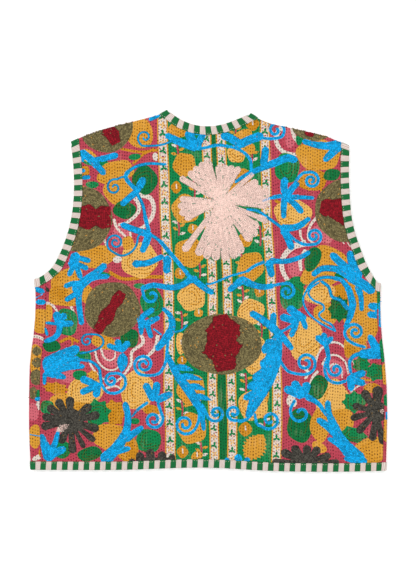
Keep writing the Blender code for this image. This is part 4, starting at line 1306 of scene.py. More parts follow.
BLUE_LEAVES = (
    Leaf(11.5, ((122.8, 352.4), (122.6, 362), (121.6, 372.6))),
    Leaf(6.8, ((172.6, 367), (183, 367.4), (194, 370.4))),
    Leaf(6.8, ((176, 376.4), (188, 376.4), (203, 379.6))),
    Leaf(6.8, ((185.6, 386), (196, 386.4), (206, 389.8))),
    Leaf(6.4, ((192, 395), (201, 396.6), (211.6, 400))),
)
PINK_LEAVES = (
    Leaf(7.4, ((56.6, 431.4), (63, 427.6), (69.4, 424.4))),
    Leaf(6, ((379.4, 410), (382.6, 411.4), (386.4, 412.4))),
)
LEFT_STRIP_LIMBS = (
    Limb(5.4, 5.4, ((36.4, 289), (43, 291.6))),
    Limb(5, 5, ((38, 302), (44, 302.2))),
    Limb(1.2, 1.2, ((36.6, 297.6), (42.6, 294.4))),
    Limb(4.4, 4.4, ((36.8, 399), (40.8, 398.6))),
    Limb(1.3, 1.3, ((30.6, 434.3), (39.4, 435.8))),
)
LEFT_STRIP_OLIVE = (
    Limb(9, 9.6, ((36.9, 349.8), (37, 352))),
    Limb(11, 11, ((37.6, 361.4), (37.6, 363.2))),
    Limb(12, 11.4, ((36.8, 373.6), (36.4, 380.8))),
    Limb(7.6, 6.6, ((33.6, 389.4), (33.2, 396.4))),
)
RIGHT_STRIP_LIMBS = (
    Limb(3, 3, ((379.6, 303.4), (380, 326))),
    Limb(2, 2, ((386.2, 412), (386.2, 419))),
)

FINGER_ROOT = 0.6  # how broad a finger is at its root, against its tip
TIP_SHARE = 0.4


def bloom(stitches, flower):
    """Fingers that spread from a round middle, each one broader and rounder at its tip."""
    middle = np.array((flower.px, flower.py))
    for finger in flower.fingers:
        turn = math.radians(finger.degrees)
        ahead = np.array((math.cos(turn), -math.sin(turn)))
        root = middle + ahead * flower.base
        tip = middle + ahead * (finger.reach - finger.width * TIP_SHARE)
        limb = Limb(finger.width * FINGER_ROOT, finger.width, (tuple(root), tuple(tip)))
        stitches.limb(limb, flower.thread)
    stitches.rings(lobed(flower.px, flower.py, flower.hub, flower.hub), flower.thread)


def sew_roundels(stitches):
    """Olive rounds, each with a red heart whose edge is a little uneven."""
    for roundel in ROUNDELS:
        line = smooth_path([place(*p) for p in roundel.heart.places], FINE)
        share = lengths_along(line) / lengths_along(line)[-1]
        halves = roundel.heart.halves
        half = np.interp(share, np.linspace(0, 1, len(halves)), halves) * PIXEL
        x, y = line[:, 0], line[:, 1]
        half = half * (1 + 0.05 * np.sin(x * 0.31 + y * 0.73) + 0.03 * np.sin(y * 1.9))
        out = left_of(headings(line)) * half[:, None]
        stitches.rings(roundel.outer, OLIVE_THREAD, [np.vstack([line + out, (line - out)[::-1]])])
        stitches.rows(line, half, RED_THREAD)


def sew_blue(stitches):
    """Scrolls, stems and leaves."""
    for curl in CURLS:
        stitches.curl(curl, BLUE_THREAD)
    for limb in BLUE_LIMBS:
        stitches.limb(limb, BLUE_THREAD)
    for leaf in BLUE_LEAVES:
        stitches.leaf(leaf, BLUE_THREAD)


LEFT_STRIP = (
    Blob(41, 321, 8.5, 13, 0, 4, GOLD),
    Blob(39, 338, 6.5, 2.6, -18, 2, CREAM),
    Blob(38, 341.6, 7, 3.4, -18, 2, PALE_ROSE),
    Blob(37.6, 362, 8, 18, 4, 3, GOLD),
    Blob(39, 393.6, 3.6, 4, 0, 3, GREEN),
    Blob(38.6, 405, 2.4, 5.6, -10, 2, CREAM),
    Blob(33, 412, 6, 9, 0, 3, PALE_ROSE),
    Blob(35, 436, 6.4, 12, 0, 3, GOLD),
    Blob(38, 457, 5.6, 2.6, 25, 2, CREAM),
    Blob(42, 452, 3, 5, 0, 2, DEEP_GOLD),
)
RIGHT_STRIP = (
    Blob(377, 300, 8, 9, 0, 3, GREEN),
    Blob(381, 330, 5, 9, 0, 3, ROSE),
    Blob(383, 350, 5, 12, 0, 3, GREEN),
    Blob(385, 374, 5, 11, 0, 3, GOLD),
    Blob(386, 400, 4, 6, 0, 3, GREEN),
    Blob(386, 430, 5, 12, 0, 3, GOLD),
)


def strip_print(side):
    """The printed shapes of the strip of a front that rolls over on to the back."""
    kept = list(print_shapes)
    print_shapes.clear()
    ink(upright(lambda py: 0, lambda py: FRAME_PX), ROSE)
    for blob in LEFT_STRIP if side < 0 else RIGHT_STRIP:
        ink_blob(blob)
    made = list(print_shapes)
    print_shapes[:] = kept
    return made


LINK_FACES = ((0, 6, 1), (1, 6, 7), (1, 7, 2), (2, 7, 3), (3, 7, 4), (4, 7, 6), (4, 6, 5), (5, 6, 0))
Corner = namedtuple("Corner", "along across lift")
LINK_CORNERS = (
    Corner(-0.54, 0, 0.0), Corner(-0.25, 1, 0.0), Corner(0.30, 1, 0.0), Corner(0.56, 0, 0.0),
    Corner(0.30, -1, 0.0), Corner(-0.25, -1, 0.0), Corner(-0.28, 0, 0.7), Corner(0.32, 0, 1.0),
)
LINK_HALF = 0.46  # half a link's width, against the room between rows
SLOPE_REACH = 0.8


def sew(name, stitches, ground, cover, thread_material, facing, flip=False):
    """Lays the waiting links on the cloth as one mesh of small raised loops."""
    starts, ends = np.vstack(stitches.starts), np.vstack(stitches.ends)
    widths, dyes = np.concatenate(stitches.widths), np.vstack(stitches.dyes)
    if flip:
        starts, ends = starts * (-1, 1), ends * (-1, 1)
    middles = (starts + ends) / 2
    heights, over = ground.heights(middles)
    for k, point in enumerate(middles):
        if over[k]:
            hit = straight_hit(cover, point[0], point[1], facing)
            over[k] = hit is None or hit.z * facing < heights[k] * facing
    starts, ends, widths, dyes = starts[over], ends[over], widths[over], dyes[over]
    middles, heights = middles[over], heights[over]
    ahead = ends - starts
    size = np.maximum(np.linalg.norm(ahead, axis=1), FAINT)[:, None]
    ahead = ahead / size
    side = left_of(ahead) * widths[:, None] * LINK_HALF
    reach = ahead * SLOPE_REACH
    slope = (ground.softened(middles + reach) - ground.softened(middles - reach)) / (2 * SLOPE_REACH)
    rise_side = (ground.softened(middles + side) - ground.softened(middles - side)) / 2
    points = np.zeros((len(starts), len(LINK_CORNERS), 3))
    for k, corner in enumerate(LINK_CORNERS):
        points[:, k, :2] = middles + ahead * size * corner.along + side * corner.across
        level = heights + slope * size[:, 0] * corner.along + rise_side * corner.across
        points[:, k, 2] = level + facing * (corner.lift * LINK_HEIGHT * widths / ROW)
    faces = np.array(LINK_FACES)
    if facing > 0:
        faces = faces[:, ::-1]
    firsts = np.arange(len(starts))[:, None, None] * len(LINK_CORNERS)
    all_faces = (firsts + faces[None]).reshape(-1, 3)
    thing = make_object(name, points.reshape(-1, 3), all_faces, thread_material)
    colour_faces(thing.data, np.repeat(dyes, len(faces), axis=0))
    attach(thing, "root")
    return thing


# The striped tape

TAPE_FULL, TAPE_CORNER = 13.5, 1.1
FOLD_HALF, SLOT_END = 1.2, 1.0
TAPE_INNER, TAPE_OUTER = 1.3, 2.3
TURNED_OVER = [5, 4, 3, 2, 1, 0, 9, 8, 7, 6]
STATION_STEP = 1.45
STRIPE_PAIR = 17.3
PUFF = 0.35


def section_gaps():
    """The distances between the points of a tape's section, which tell its rings from other points."""

    def mirrored(half):
        return [(x, -z) for x, z in half[::-1]]

    upper = [(TAPE_FULL, TAPE_OUTER), (TAPE_CORNER, TAPE_OUTER), (0, FOLD_HALF)]
    slot = [(TAPE_FULL, -TAPE_INNER), (SLOT_END, -TAPE_INNER)]
    spots = np.array([*upper, *mirrored(upper), *slot, *mirrored(slot)])
    return np.linalg.norm(spots[:, None] - spots[None], axis=2)


SLACKS = (0.15, 0.5, 1.1)


def find_sections(shape):
    """Every ten points of a tape whose distances are those of its section, in their order round it.

    The sections that fit well are taken first, and then the ones that the neck's curve has stretched.
    """
    near = {}
    for vert in shape.verts:
        near[vert] = [(edge.other_vert(vert), edge.calc_length()) for edge in vert.link_edges]
    gaps = section_gaps()
    rings, used = [], set()
    for slack in SLACKS:
        found = []
        for start in shape.verts:
            if start in used:
                continue
            paths = [[start]]
            for side in range(len(gaps) - 1):
                size = gaps[side, side + 1]
                paths = [
                    [*path, other]
                    for path in paths
                    for other, length in near[path[-1]]
                    if abs(length - size) < slack and other not in path and other not in used
                ]
            for path in paths:
                spots = np.array([tuple(vert.co) for vert in path])
                misfit = np.abs(np.linalg.norm(spots[:, None] - spots[None], axis=2) - gaps).max()
                if misfit < slack:
                    found.append((misfit, path))
        for _, path in sorted(found, key=lambda pair: pair[0]):
            if not used.intersection(path):
                rings.append(path)
                used.update(path)
    return rings


def steps_from(starts):
    """How many edges each point is away from the given ones."""
    steps, queue = {vert: 0 for vert in starts}, list(starts)
    for vert in queue:
        for edge in vert.link_edges:
            other = edge.other_vert(vert)
            if other not in steps:
                steps[other] = steps[vert] + 1
                queue.append(other)
    return steps


def tape_rings(node):
    """A tape's sections in order along it, the points of each in the order of section_gaps.

    The end with the larger sum by END_ORDER comes first, so that the stripes always start there.
    """
    shape = merged(node)
    rings = find_sections(shape)
    far = steps_from(rings[0][:1])
    end = max(far, key=far.get)
    first = next((ring for ring in rings if end in ring), [end])
    steps = steps_from(first)
    rings.sort(key=lambda ring: sum(steps[vert] for vert in ring))
    found = np.array([[tuple(vert.co) for vert in ring] for ring in rings])
    shape.free()
    first, last = (found[end].mean(axis=0) @ END_ORDER for end in (0, -1))
    if first < last:
        found = found[::-1].copy()
    for before, ring in zip(found, found[1:]):
        last, same, turned_ring = (one - one.mean(axis=0) for one in (before, ring, ring[TURNED_OVER]))
        if ((turned_ring - last) ** 2).sum() < ((same - last) ** 2).sum():
            ring[:] = ring[TURNED_OVER].copy()
    if found[:, 5, 2].mean() > found[:, 0, 2].mean():
        found = found[:, TURNED_OVER]
    return found


def between(rings, step):
    """Closely spaced sections on smooth lines through the given ones, and the distance along each."""
    spine = rings[:, 1:5].mean(axis=1)
    along = lengths_along(spine)
    count = max(2, math.ceil(along[-1] / step))
    places = np.linspace(0, along[-1], count + 1)
    gaps = np.diff(along)
    slopes = np.diff(rings, axis=0) / gaps[:, None, None]
    tangents = np.empty_like(rings)
    tangents[0], tangents[-1] = slopes[0], slopes[-1]
    weight = (gaps[1:] / (gaps[1:] + gaps[:-1]))[:, None, None]
    tangents[1:-1] = slopes[:-1] * weight + slopes[1:] * (1 - weight)
    k = np.clip(np.searchsorted(along, places, side="right") - 1, 0, len(gaps) - 1)
    h = gaps[k][:, None, None]
    t = ((places - along[k]) / gaps[k])[:, None, None]
    smooth = (
        (2 * t**3 - 3 * t**2 + 1) * rings[k]
        + (t**3 - 2 * t**2 + t) * h * tangents[k]
        + (3 * t**2 - 2 * t**3) * rings[k + 1]
        + (t**3 - t**2) * h * tangents[k + 1]
    )
    return smooth, places


STITCH_DEPTH = 11.5
STITCH_SPACING, STITCH_LENGTH = 4.2, 2.7
STITCH_SUNK = 0.25
FIRST_STITCH = 2.0
FACE_DEPTHS = (TAPE_FULL, 13.2, 12.3, STITCH_DEPTH, 10.7, 9.0, 6.6, 4.2, 2.4, 1.3)
Turn = namedtuple("Turn", "before after share")
FOLD_TURNS = (
    Turn(1, 2, 0.3), Turn(1, 2, 0.75), Turn(2, 3, 0.2), Turn(2, 3, 0.5), Turn(2, 3, 0.8),
    Turn(3, 4, 0.25), Turn(3, 4, 0.7),
)
FOLD_DEPTH = 0.3
SLOT_DEPTHS = {6: TAPE_FULL, 7: SLOT_END, 8: SLOT_END, 9: TAPE_FULL}
GROOVE, GROOVE_REACH = 0.42, 0.7
END_ORDER = (1, 1, 0.1)


def tape(node, material, slant, seams):
    """A striped tape folded over an edge: it puffs between its stripes, with a row of stitches."""
    rings, along = between(tape_rings(node), STATION_STEP)
    edge_up, edge_low = rings[:, 0], rings[:, 5]
    up = edge_up - rings[:, 9]
    low = edge_low - rings[:, 6]
    up /= np.linalg.norm(up, axis=1)[:, None]
    low /= np.linalg.norm(low, axis=1)[:, None]
    section, marks, depths = [], [], []

    def add(points, depth):
        section.append(points)
        marks.append(along + slant * depth)
        depths.append(np.full(len(along), depth))

    def on_face(edge, root, depth):
        share = (depth - TAPE_CORNER) / (TAPE_FULL - TAPE_CORNER)
        return edge * share + root * (1 - share)

    def puff(depth):
        stripes = np.abs(np.sin(math.pi * (along + slant * depth) / (STRIPE_PAIR / 2)))
        across = np.clip((TAPE_FULL - depth) / 1.2, 0, 1) * np.clip(depth / 2.5, 0.35, 1)
        groove = GROOVE * np.exp(-(((depth - STITCH_DEPTH) / GROOVE_REACH) ** 2))
        return (PUFF * (stripes**0.6 - 0.4) * across - groove)[:, None]

    for depth in FACE_DEPTHS:
        add(on_face(edge_up, rings[:, 1], depth) + up * puff(depth), depth)
    for turn in FOLD_TURNS:
        add(rings[:, turn.before] * (1 - turn.share) + rings[:, turn.after] * turn.share, FOLD_DEPTH)
    for depth in FACE_DEPTHS[::-1]:
        add(on_face(edge_low, rings[:, 4], depth) + low * puff(depth), depth)
    for k, depth in SLOT_DEPTHS.items():
        add(rings[:, k], depth)
    points = np.stack(section, axis=1)
    points[..., 2] = np.maximum(points[..., 2], FLOOR_GAP)
    rows, columns = points.shape[:2]
    faces = []
    for first in range(0, (rows - 1) * columns, columns):
        for j in range(columns):
            k = (j + 1) % columns
            faces.append((first + j, first + k, first + columns + k, first + columns + j))
    caps = [tuple(range(columns))[::-1], tuple(range((rows - 1) * columns, rows * columns))]
    mesh = bpy.data.meshes.new(node)
    mesh.from_pydata(points.reshape(-1, 3) * MM, [], [*faces, *caps])
    shape = bmesh.new()
    shape.from_mesh(mesh)
    bmesh.ops.recalc_face_normals(shape, faces=shape.faces)
    shape.to_mesh(mesh)
    shape.free()
    for key, values in (("along", np.stack(marks, axis=1)), ("depth", np.stack(depths, axis=1))):
        layer = mesh.attributes.new(key, "FLOAT", "POINT")
        layer.data.foreach_set("value", values.astype(np.float32).ravel())
    mesh.shade_smooth()
    thing = bpy.data.objects.new(f"{node}_cloth", mesh)
    bpy.context.scene.collection.objects.link(thing)
    mesh.materials.append(material)
    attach(thing, "root")
    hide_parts(node)
    for edge, root, out in ((edge_up, rings[:, 1], up), (edge_low, rings[:, 4], low)):
        seams.append((on_face(edge, root, STITCH_DEPTH) - out * STITCH_SUNK, out))
    return thing


STITCH_HALF = 0.35
STITCH_CORNERS = (
    Corner(0, 0, -0.1), Corner(0.25, 1, 0), Corner(0.75, 1, 0), Corner(1, 0, -0.1),
    Corner(0.75, -1, 0), Corner(0.25, -1, 0), Corner(0.25, 0, 0.35), Corner(0.75, 0, 0.35),
)


def tape_stitches(name, seams, material):
    """The running stitches that hold the tapes, as one mesh of small raised links."""
    points, faces = [], []
    for line, out in seams:
        along = lengths_along(line)
        for at in np.arange(FIRST_STITCH, along[-1] - STITCH_LENGTH, STITCH_SPACING):
            spots = [np.interp((at, at + STITCH_LENGTH), along, line[:, k]) for k in range(3)]
            start, end = np.transpose(spots)
            lift = out[np.searchsorted(along, at) % len(out)]
            ahead = end - start
            side = np.cross(lift, ahead)
            side *= STITCH_HALF / max(np.linalg.norm(side), FAINT)
            first = len(points)
            for corner in STITCH_CORNERS:
                points.append(start + ahead * corner.along + side * corner.across + lift * corner.lift)
            faces += [tuple(first + k for k in face)[::-1] for face in LINK_FACES]
    thing = make_object(name, points, faces, material)
    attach(thing, "root")
    return thing


# Materials


class Sock:
    """A shader value that takes part in sums like a number."""

    def __init__(self, tree, socket):
        self.tree, self.socket = tree, socket

    def node(self, kind, inputs=None, output=0, **settings):
        """Any other node: its inputs by name or number, and one of its outputs."""
        made = self.tree.nodes.new(kind)
        for key, value in settings.items():
            setattr(made, key, value)
        for key, value in (inputs or {}).items():
            if isinstance(value, Sock):
                self.tree.links.new(value.socket, made.inputs[key])
            else:
                made.inputs[key].default_value = value
        return Sock(self.tree, made.outputs[output])

    def math(self, operation, *others):
        inputs = dict(enumerate((self, *others)))
        return self.node("ShaderNodeMath", inputs, operation=operation)

    def __add__(self, other):
        return self.math("ADD", other)

    def __sub__(self, other):
        return self.math("SUBTRACT", other)

    def __rsub__(self, other):
        return (self * -1) + other

    def __mul__(self, other):
        return self.math("MULTIPLY", other)

    def __truediv__(self, other):
        return self.math("DIVIDE", other)

    __radd__ = __add__

    def floor(self):
        return self.math("FLOOR")

    def fract(self):
        return self.math("FRACT")

    def above(self, low, high):
        """0 below low, 1 above high, and smooth between them."""
        inputs = {"Value": self, "From Min": low, "From Max": high}
        return self.node("ShaderNodeMapRange", inputs, interpolation_type="SMOOTHSTEP")

    def blend(self, first, second):
        """A colour: the first where this value is 0, and the second where it is 1."""
        colours = {0: self}
        for key, colour in ((6, first), (7, second)):
            colours[key] = colour if isinstance(colour, Sock) else (*colour, 1)
        return self.node("ShaderNodeMix", colours, output=2, data_type="RGBA")

    def shade(self, amount):
        """This colour times a number."""
        return self.node("ShaderNodeVectorMath", {0: self, "Scale": amount}, operation="SCALE")

    def point(self, x, y, z=0.0):
        return self.node("ShaderNodeCombineXYZ", {0: x, 1: y, 2: z})

    def noise(self, scale, detail=2.0):
        """Smooth noise at this point, about 0.5 on average."""
        return self.node("ShaderNodeTexNoise", {"Vector": self, "Scale": scale, "Detail": detail})

    def chance(self):
        """A random number from 0 to 1 for this point."""
        return self.node("ShaderNodeTexWhiteNoise", {"Vector": self}, noise_dimensions="3D")

    def parts(self):
        split = self.tree.nodes.new("ShaderNodeSeparateXYZ")
        self.tree.links.new(self.socket, split.inputs[0])
        return [Sock(self.tree, output) for output in split.outputs]


CLOTH_GLOSS = 0.15


def new_material(name, roughness, sheen):
    """A material, its shader, and a value to build on, which is the place on the object."""
    material = bpy.data.materials.new(name)
    material.use_nodes = True
    tree = material.node_tree
    shader = tree.nodes["Principled BSDF"]
    shader.inputs["Roughness"].default_value = roughness
    shader.inputs["Sheen Weight"].default_value = sheen
    shader.inputs["Specular IOR Level"].default_value = CLOTH_GLOSS
    coordinates = tree.nodes.new("ShaderNodeTexCoord")
    return material, shader, Sock(tree, coordinates.outputs["Object"])


def finish_shader(shader, spot, colour, relief, distance):
    """Gives a shader its colour, and a bump as deep as the distance, in metres."""
    bump = spot.node("ShaderNodeBump", {"Height": relief, "Distance": distance, "Strength": 1.0})
    spot.tree.links.new(bump.socket, shader.inputs["Normal"])
    spot.tree.links.new(colour.socket, shader.inputs["Base Color"])


QUILT_ROW, QUILT_STEP = 4.1, 5.0  # the spacing of the rows, and of the stitches along them
ROW_WANDER, STEP_WANDER = 0.011, 1.1
DOT_WIDTH, DOT_LENGTH = 0.95, 1.25
DOT_EDGE, DOT_LUCK = (0.55, 1.15), (-0.25, 0.95)
# how strongly the quilting dots are darkened, and their tint: thread colour and painted dimple shade
# together
DOT_SHARE, DOT_THREAD_AND_SHADE_TINT = 0.92, (0.16, 0.07, 0.08)
WORN_EDGE, WORN_SHARE, WORN_DYE = (0.26, 0.46), 0.12, srgb(240, 214, 176)
PRINTED_EDGE = (-0.9, -0.1)  # between the mark of the painted shadow under threads and that of plain print
SPECK, SPECK_EDGE = 2.3, (0.32, 0.48)
SPECK_ROSE = srgb(178, 44, 82)
ROSE_KINDS, GOLD_KINDS = (0.34, 0.35), ((0.62, 0.63), (0.9, 0.91))
WEAVE = 9000.0
CLOTH_RELIEF, THREAD_RELIEF, TAPE_RELIEF = 0.0009, 0.0002, 0.0003


def printed_cloth(name):
    """Block-printed cotton with rows of small dark quilting stitches that dimple it, each dot darkened
    for its thread and for the painted shade of its dimple.
    """
    material, shader, spot = new_material(name, 0.9, 0.04)
    dye = spot.node("ShaderNodeAttribute", attribute_name="dye", output="Color")
    specks = spot.node("ShaderNodeAttribute", attribute_name="specks", output="Fac")
    x, y, z = spot.parts()
    wander = (spot.noise(16.0) - 0.5) * ROW_WANDER
    u = (x + wander) / (QUILT_ROW * MM)
    row = u.floor()
    v = y / (QUILT_STEP * MM) + row.point(row, 0.5).chance() * 7.0
    v = v + (spot.noise(60.0) - 0.5) * STEP_WANDER
    cell = v.floor()
    luck = row.point(row, cell).chance()
    across = (u - row - 0.5) * (QUILT_ROW / DOT_WIDTH)
    along = (v - cell - 0.5) * (QUILT_STEP / DOT_LENGTH)
    gap = (across * across + along * along).math("SQRT")
    dot = 1 - gap.above(*DOT_EDGE)
    shown = dot * luck.above(*DOT_LUCK)
    ridge = (u * math.tau).math("COSINE")
    streaks = spot.point(x * 260.0, y * 30.0, z).noise(1.0, 3.0)
    cloudy = spot.noise(22.0, 3.0)
    mottle = spot.noise(520.0, 2.0)
    light = 0.78 + streaks * 0.22 + cloudy * 0.16 + mottle * 0.12
    colour = dye.shade(light)
    # 1 on the print and 0 on the painted shadow under threads, which gets no wear and no quilting dots
    printed = specks.above(*PRINTED_EDGE)
    worn = (streaks * cloudy).above(*WORN_EDGE) * WORN_SHARE * printed
    colour = worn.blend(colour, WORN_DYE)
    flecks = {"Vector": spot, "Scale": 1000 / SPECK, "Randomness": 1.0}
    near = spot.node("ShaderNodeTexVoronoi", flecks, output="Distance")
    kind = spot.node("ShaderNodeTexVoronoi", flecks, output="Color").parts()[0]
    fleck = (1 - near.above(*SPECK_EDGE)) * specks.math("MAXIMUM", 0.0)
    rosy = fleck * (1 - kind.above(*ROSE_KINDS))
    golden = fleck * kind.above(*GOLD_KINDS[0]) * (1 - kind.above(*GOLD_KINDS[1]))
    colour = rosy.blend(colour, SPECK_ROSE)
    colour = golden.blend(colour, PALE_GOLD)
    # the quilting dots: darker for their thread, with the dimple's shade painted in
    dark = colour.node("ShaderNodeVectorMath", {0: colour, 1: DOT_THREAD_AND_SHADE_TINT}, operation="MULTIPLY")
    colour = (shown * printed * DOT_SHARE).blend(colour, dark)
    weave = (x * WEAVE).math("SINE") * (y * WEAVE).math("SINE")
    relief = ridge * 0.18 - dot * 0.9 + mottle * 0.25 + weave * 0.05
    finish_shader(shader, spot, colour, relief, CLOTH_RELIEF)
    return material


def thread(name):
    """Matte cotton thread, a little lighter and darker from stitch to stitch."""
    material, shader, spot = new_material(name, 0.75, 0.05)
    dye = spot.node("ShaderNodeAttribute", attribute_name="dye", output="Color")
    light = 0.8 + spot.noise(800.0, 2.0) * 0.4
    finish_shader(shader, spot, dye.shade(light), spot.noise(2600.0, 2.0), THREAD_RELIEF)
    return material


WHITE_START, WHITE_END = (0.485, 0.515), (0.985, 0.999)
LINE_SPACING, LINE_EDGE = 1.9, (0.08, 0.2)
LINE_ON_WHITE, LINE_ON_GREEN = srgb(158, 100, 88), srgb(12, 70, 36)
# where the painted shadow at the edges of the stripes begins and where it is full
STRIPE_SHADOW_EDGE = (0.42, 0.5)


def striped_tape():
    """Woven tape: green and off-white stripes across it, the off-white ones with fine reddish lines,
    and painted shade at their edges.
    """
    material, shader, spot = new_material("striped_tape", 0.88, 0.04)
    along = spot.node("ShaderNodeAttribute", attribute_name="along", output="Fac")
    wander = (spot.noise(90.0) - 0.5) * 0.5
    pair = ((along + wander) / STRIPE_PAIR).fract()
    white = pair.above(*WHITE_START) * (1 - pair.above(*WHITE_END))
    fine = ((along + wander) / LINE_SPACING).fract() - 0.5
    line = 1 - fine.math("ABSOLUTE").above(*LINE_EDGE)
    worn = spot.noise(420.0, 2.0)
    pale = (line * (0.4 + worn * 0.6)).blend(TAPE_WHITE, LINE_ON_WHITE)
    green = (line * 0.35).blend(TAPE_GREEN, LINE_ON_GREEN)
    colour = white.blend(green, pale)
    # painted shadow along the edges of the stripes, where the puffed tape dips
    edge = (pair * 2).fract() - 0.5
    stripe_edge_shadow = edge.math("ABSOLUTE").above(*STRIPE_SHADOW_EDGE)
    light = (0.86 + worn * 0.26) * (1 - stripe_edge_shadow * 0.35)
    colour = colour.shade(light)
    finish_shader(shader, spot, colour, line * 0.4 + worn * 0.5, TAPE_RELIEF)
    return material


def plain_thread(name, dye):
    material, shader, _ = new_material(name, 0.7, 0.1)
    shader.inputs["Base Color"].default_value = (*dye, 1)
    return material


# Thread ends that hang out at the side seams and an armhole
LooseEnd = namedtuple("LooseEnd", "height dye places")
LOOSE_ENDS = (
    LooseEnd(5.0, OLIVE, ((31.5, 399), (30.2, 397.6), (29.4, 398), (28.2, 396.6))),
    LooseEnd(5.5, BLUE, ((377.6, 301), (379.4, 300.6), (380.4, 302), (381.6, 301.4))),
    LooseEnd(5.5, BLUE, ((378.4, 297.6), (379.6, 298.6), (380.2, 297.4), (380.8, 297.6))),
)
LOOSE_RISES = (0, 0.8, 0.6, 1.4)
LOOSE_HALF = 0.35

# Putting it together


def tree_of(*nodes):
    """One ray-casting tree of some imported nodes."""
    points, faces = [], []
    for node in nodes:
        shape = merged(node)
        first = len(points)
        shape.verts.index_update()
        points += [vert.co.copy() for vert in shape.verts]
        faces += [[first + vert.index for vert in face.verts] for face in shape.faces]
        shape.free()
    return BVHTree.FromPolygons(points, faces)


def sheet_area(points, faces):
    """In square metres."""
    a, b, c = (points[faces[:, k]] for k in range(3))
    return float(np.linalg.norm(np.cross(b - a, c - a), axis=1).sum() / 2) * MM * MM


SLANT, NECK_SLANT = 0.06, 0.12  # how far the stripes lean, against the depth
TAPES = (
    "neck_binding", "front_binding_left", "front_binding_right", "armhole_binding_left",
    "armhole_binding_right", "hem_binding",
)
tape_tree = tree_of(*TAPES)
back_tree = tree_of("back_panel")

back_chart = Chart("back_panel", UP, [])
back_heights = HeightMap(back_chart)
print_pattern()

back_work, red_work, dark_work = Stitches(), Stitches(), Stitches()
sew_blue(back_work)
sew_roundels(red_work)
for flower in DARK_BLOOMS:
    bloom(dark_work, flower)
for limb in DARK_LOBES:
    dark_work.limb(limb, CHARCOAL_THREAD)
bloom(dark_work, PINK_BLOOM)
for leaf in PINK_LEAVES:
    dark_work.leaf(leaf, PINK_THREAD)

back_cloth_material = printed_cloth("quilted_back_cloth")
front_cloth_material = printed_cloth("quilted_front_cloth")
embroidery_material = thread("embroidery_thread")
tape_material = striped_tape()

# the print, with the painted shadows under the threads laid over it
back_shapes = [*print_shapes, *red_work.painted_shadows, *dark_work.painted_shadows, *back_work.painted_shadows]
back_sheet = sheet_mesh(back_chart, back_heights, back_shapes, ROSE)
back_cloth = cloth_panel(
    "back_cloth", [back_sheet], back_cloth_material, ["back_panel"],
)

work = {"blue": back_work, "roundel": red_work, "flower": dark_work}
for word, stitches in work.items():
    sew(
        f"back_{word}_embroidery", stitches, back_heights, tape_tree, embroidery_material, UP,
    )

for word, side in (("left", -1), ("right", 1)):
    node = f"front_{word}"
    low_chart = Chart(node, DOWN, [])
    strip_chart = Chart(node, UP, [back_tree])
    low_heights, strip_heights = HeightMap(low_chart), HeightMap(strip_chart)
    low_sheet = sheet_mesh(low_chart, low_heights, print_shapes, ROSE)
    strip_work = Stitches()
    for limb in LEFT_STRIP_LIMBS if side < 0 else RIGHT_STRIP_LIMBS:
        strip_work.limb(limb, BLUE_THREAD)
    for limb in LEFT_STRIP_OLIVE if side < 0 else ():
        strip_work.limb(limb, OLIVE_THREAD)
    # the print, with the painted shadows under the strip's threads laid over it
    strip_shapes = print_shapes + strip_print(side) + strip_work.painted_shadows
    strip_sheet = sheet_mesh(strip_chart, strip_heights, strip_shapes, ROSE, STRIP_GRID_STEP)
    cloth = cloth_panel(
        f"{node}_cloth", [low_sheet, strip_sheet], front_cloth_material, [node],
    )
    area = sum(sheet_area(points, faces) for points, faces, _, _ in (low_sheet, strip_sheet))
    for kind, stitches in work.items():
        sew(
            f"{node}_{kind}_embroidery", stitches, low_heights, tape_tree, embroidery_material, DOWN,
            flip=True,
        )
    sew(
        f"{node}_edge_embroidery", strip_work, strip_heights, tape_tree, embroidery_material, UP,
    )

seams = []
tapes = [
    tape(node, tape_material, NECK_SLANT if node == "neck_binding" else SLANT, seams)
    for node in TAPES
]
tape_stitches("tape_stitches", seams, plain_thread("tape_thread", srgb(206, 196, 178)))

for number, end in enumerate(LOOSE_ENDS):
    curve = bpy.data.curves.new(f"loose_thread_{number}", "CURVE")
    curve.dimensions = "3D"
    curve.bevel_depth = LOOSE_HALF * MM
    curve.bevel_resolution = 2
    spline = curve.splines.new("NURBS")
    spots = [(*place(*spot), end.height + rise) for spot, rise in zip(end.places, LOOSE_RISES)]
    spline.points.add(len(spots) - 1)
    for point, spot in zip(spline.points, spots):
        point.co = (*(value * MM for value in spot), 1)
    spline.use_endpoint_u = True
    spline.order_u = 4
    curve.materials.append(plain_thread(f"loose_{number}", end.dye))
    thread_end = bpy.data.objects.new(curve.name, curve)
    bpy.context.scene.collection.objects.link(thread_end)
    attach(thread_end, "root")

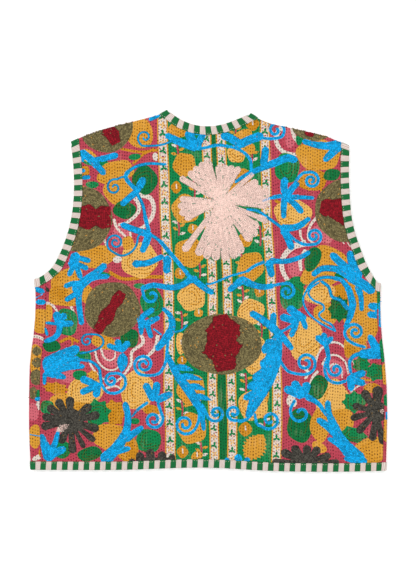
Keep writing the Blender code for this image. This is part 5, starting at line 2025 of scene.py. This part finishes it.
sheet_area(back_sheet[0], back_sheet[1])

# The table, the camera and the light

TABLE_SIZE, TABLE_DROP = 8, 0.0004
bpy.ops.mesh.primitive_plane_add(size=TABLE_SIZE, location=(0, 0, -TABLE_DROP))
floor = bpy.context.object
floor.name = "table_top"
white = bpy.data.materials.new("table_white")
white.use_nodes = True
inputs = white.node_tree.nodes["Principled BSDF"].inputs
inputs["Base Color"].default_value = (0.9, 0.9, 0.9, 1)
inputs["Roughness"].default_value = 0.9
inputs["Emission Color"].default_value = (1, 1, 1, 1)
inputs["Emission Strength"].default_value = 0.25
floor.data.materials.append(white)

camera = bpy.data.objects.new("camera", bpy.data.cameras.new("camera"))
bpy.context.scene.collection.objects.link(camera)
centre = place(FRAME_PX / 2, FRAME_PY / 2)
camera.location = (centre[0] * MM, centre[1] * MM, CAMERA_HEIGHT)
camera.data.sensor_fit = "VERTICAL"
camera.data.sensor_height = SENSOR
camera.data.lens = SENSOR * CAMERA_HEIGHT / (FRAME_PY * PIXEL * MM)
camera.data.clip_end = VIEW_DEPTH
bpy.context.scene.camera = camera

Lamp = namedtuple("Lamp", "x y z size power")
LAMPS = (Lamp(-1.6, 1.4, 2.2, 1.6, 34), Lamp(1.8, 0.6, 2.4, 2.2, 20), Lamp(0, -2.0, 2.6, 2.4, 16))
SKY_STRENGTH = 0.70
for number, lamp in enumerate(LAMPS):
    light = bpy.data.lights.new(f"soft_light_{number}", "AREA")
    light.energy, light.size = lamp.power, lamp.size
    holder = bpy.data.objects.new(light.name, light)
    holder.location = (lamp.x, lamp.y, lamp.z)
    holder.rotation_euler = (-Vector(holder.location)).to_track_quat("-Z", "Y").to_euler()
    bpy.context.scene.collection.objects.link(holder)

bpy.context.scene.view_settings.view_transform = "Standard"
world = bpy.data.worlds.new("studio")
bpy.context.scene.world = world
world.use_nodes = True
sky = world.node_tree.nodes["Background"]
sky.inputs["Color"].default_value = (1, 1, 1, 1)
sky.inputs["Strength"].default_value = SKY_STRENGTH
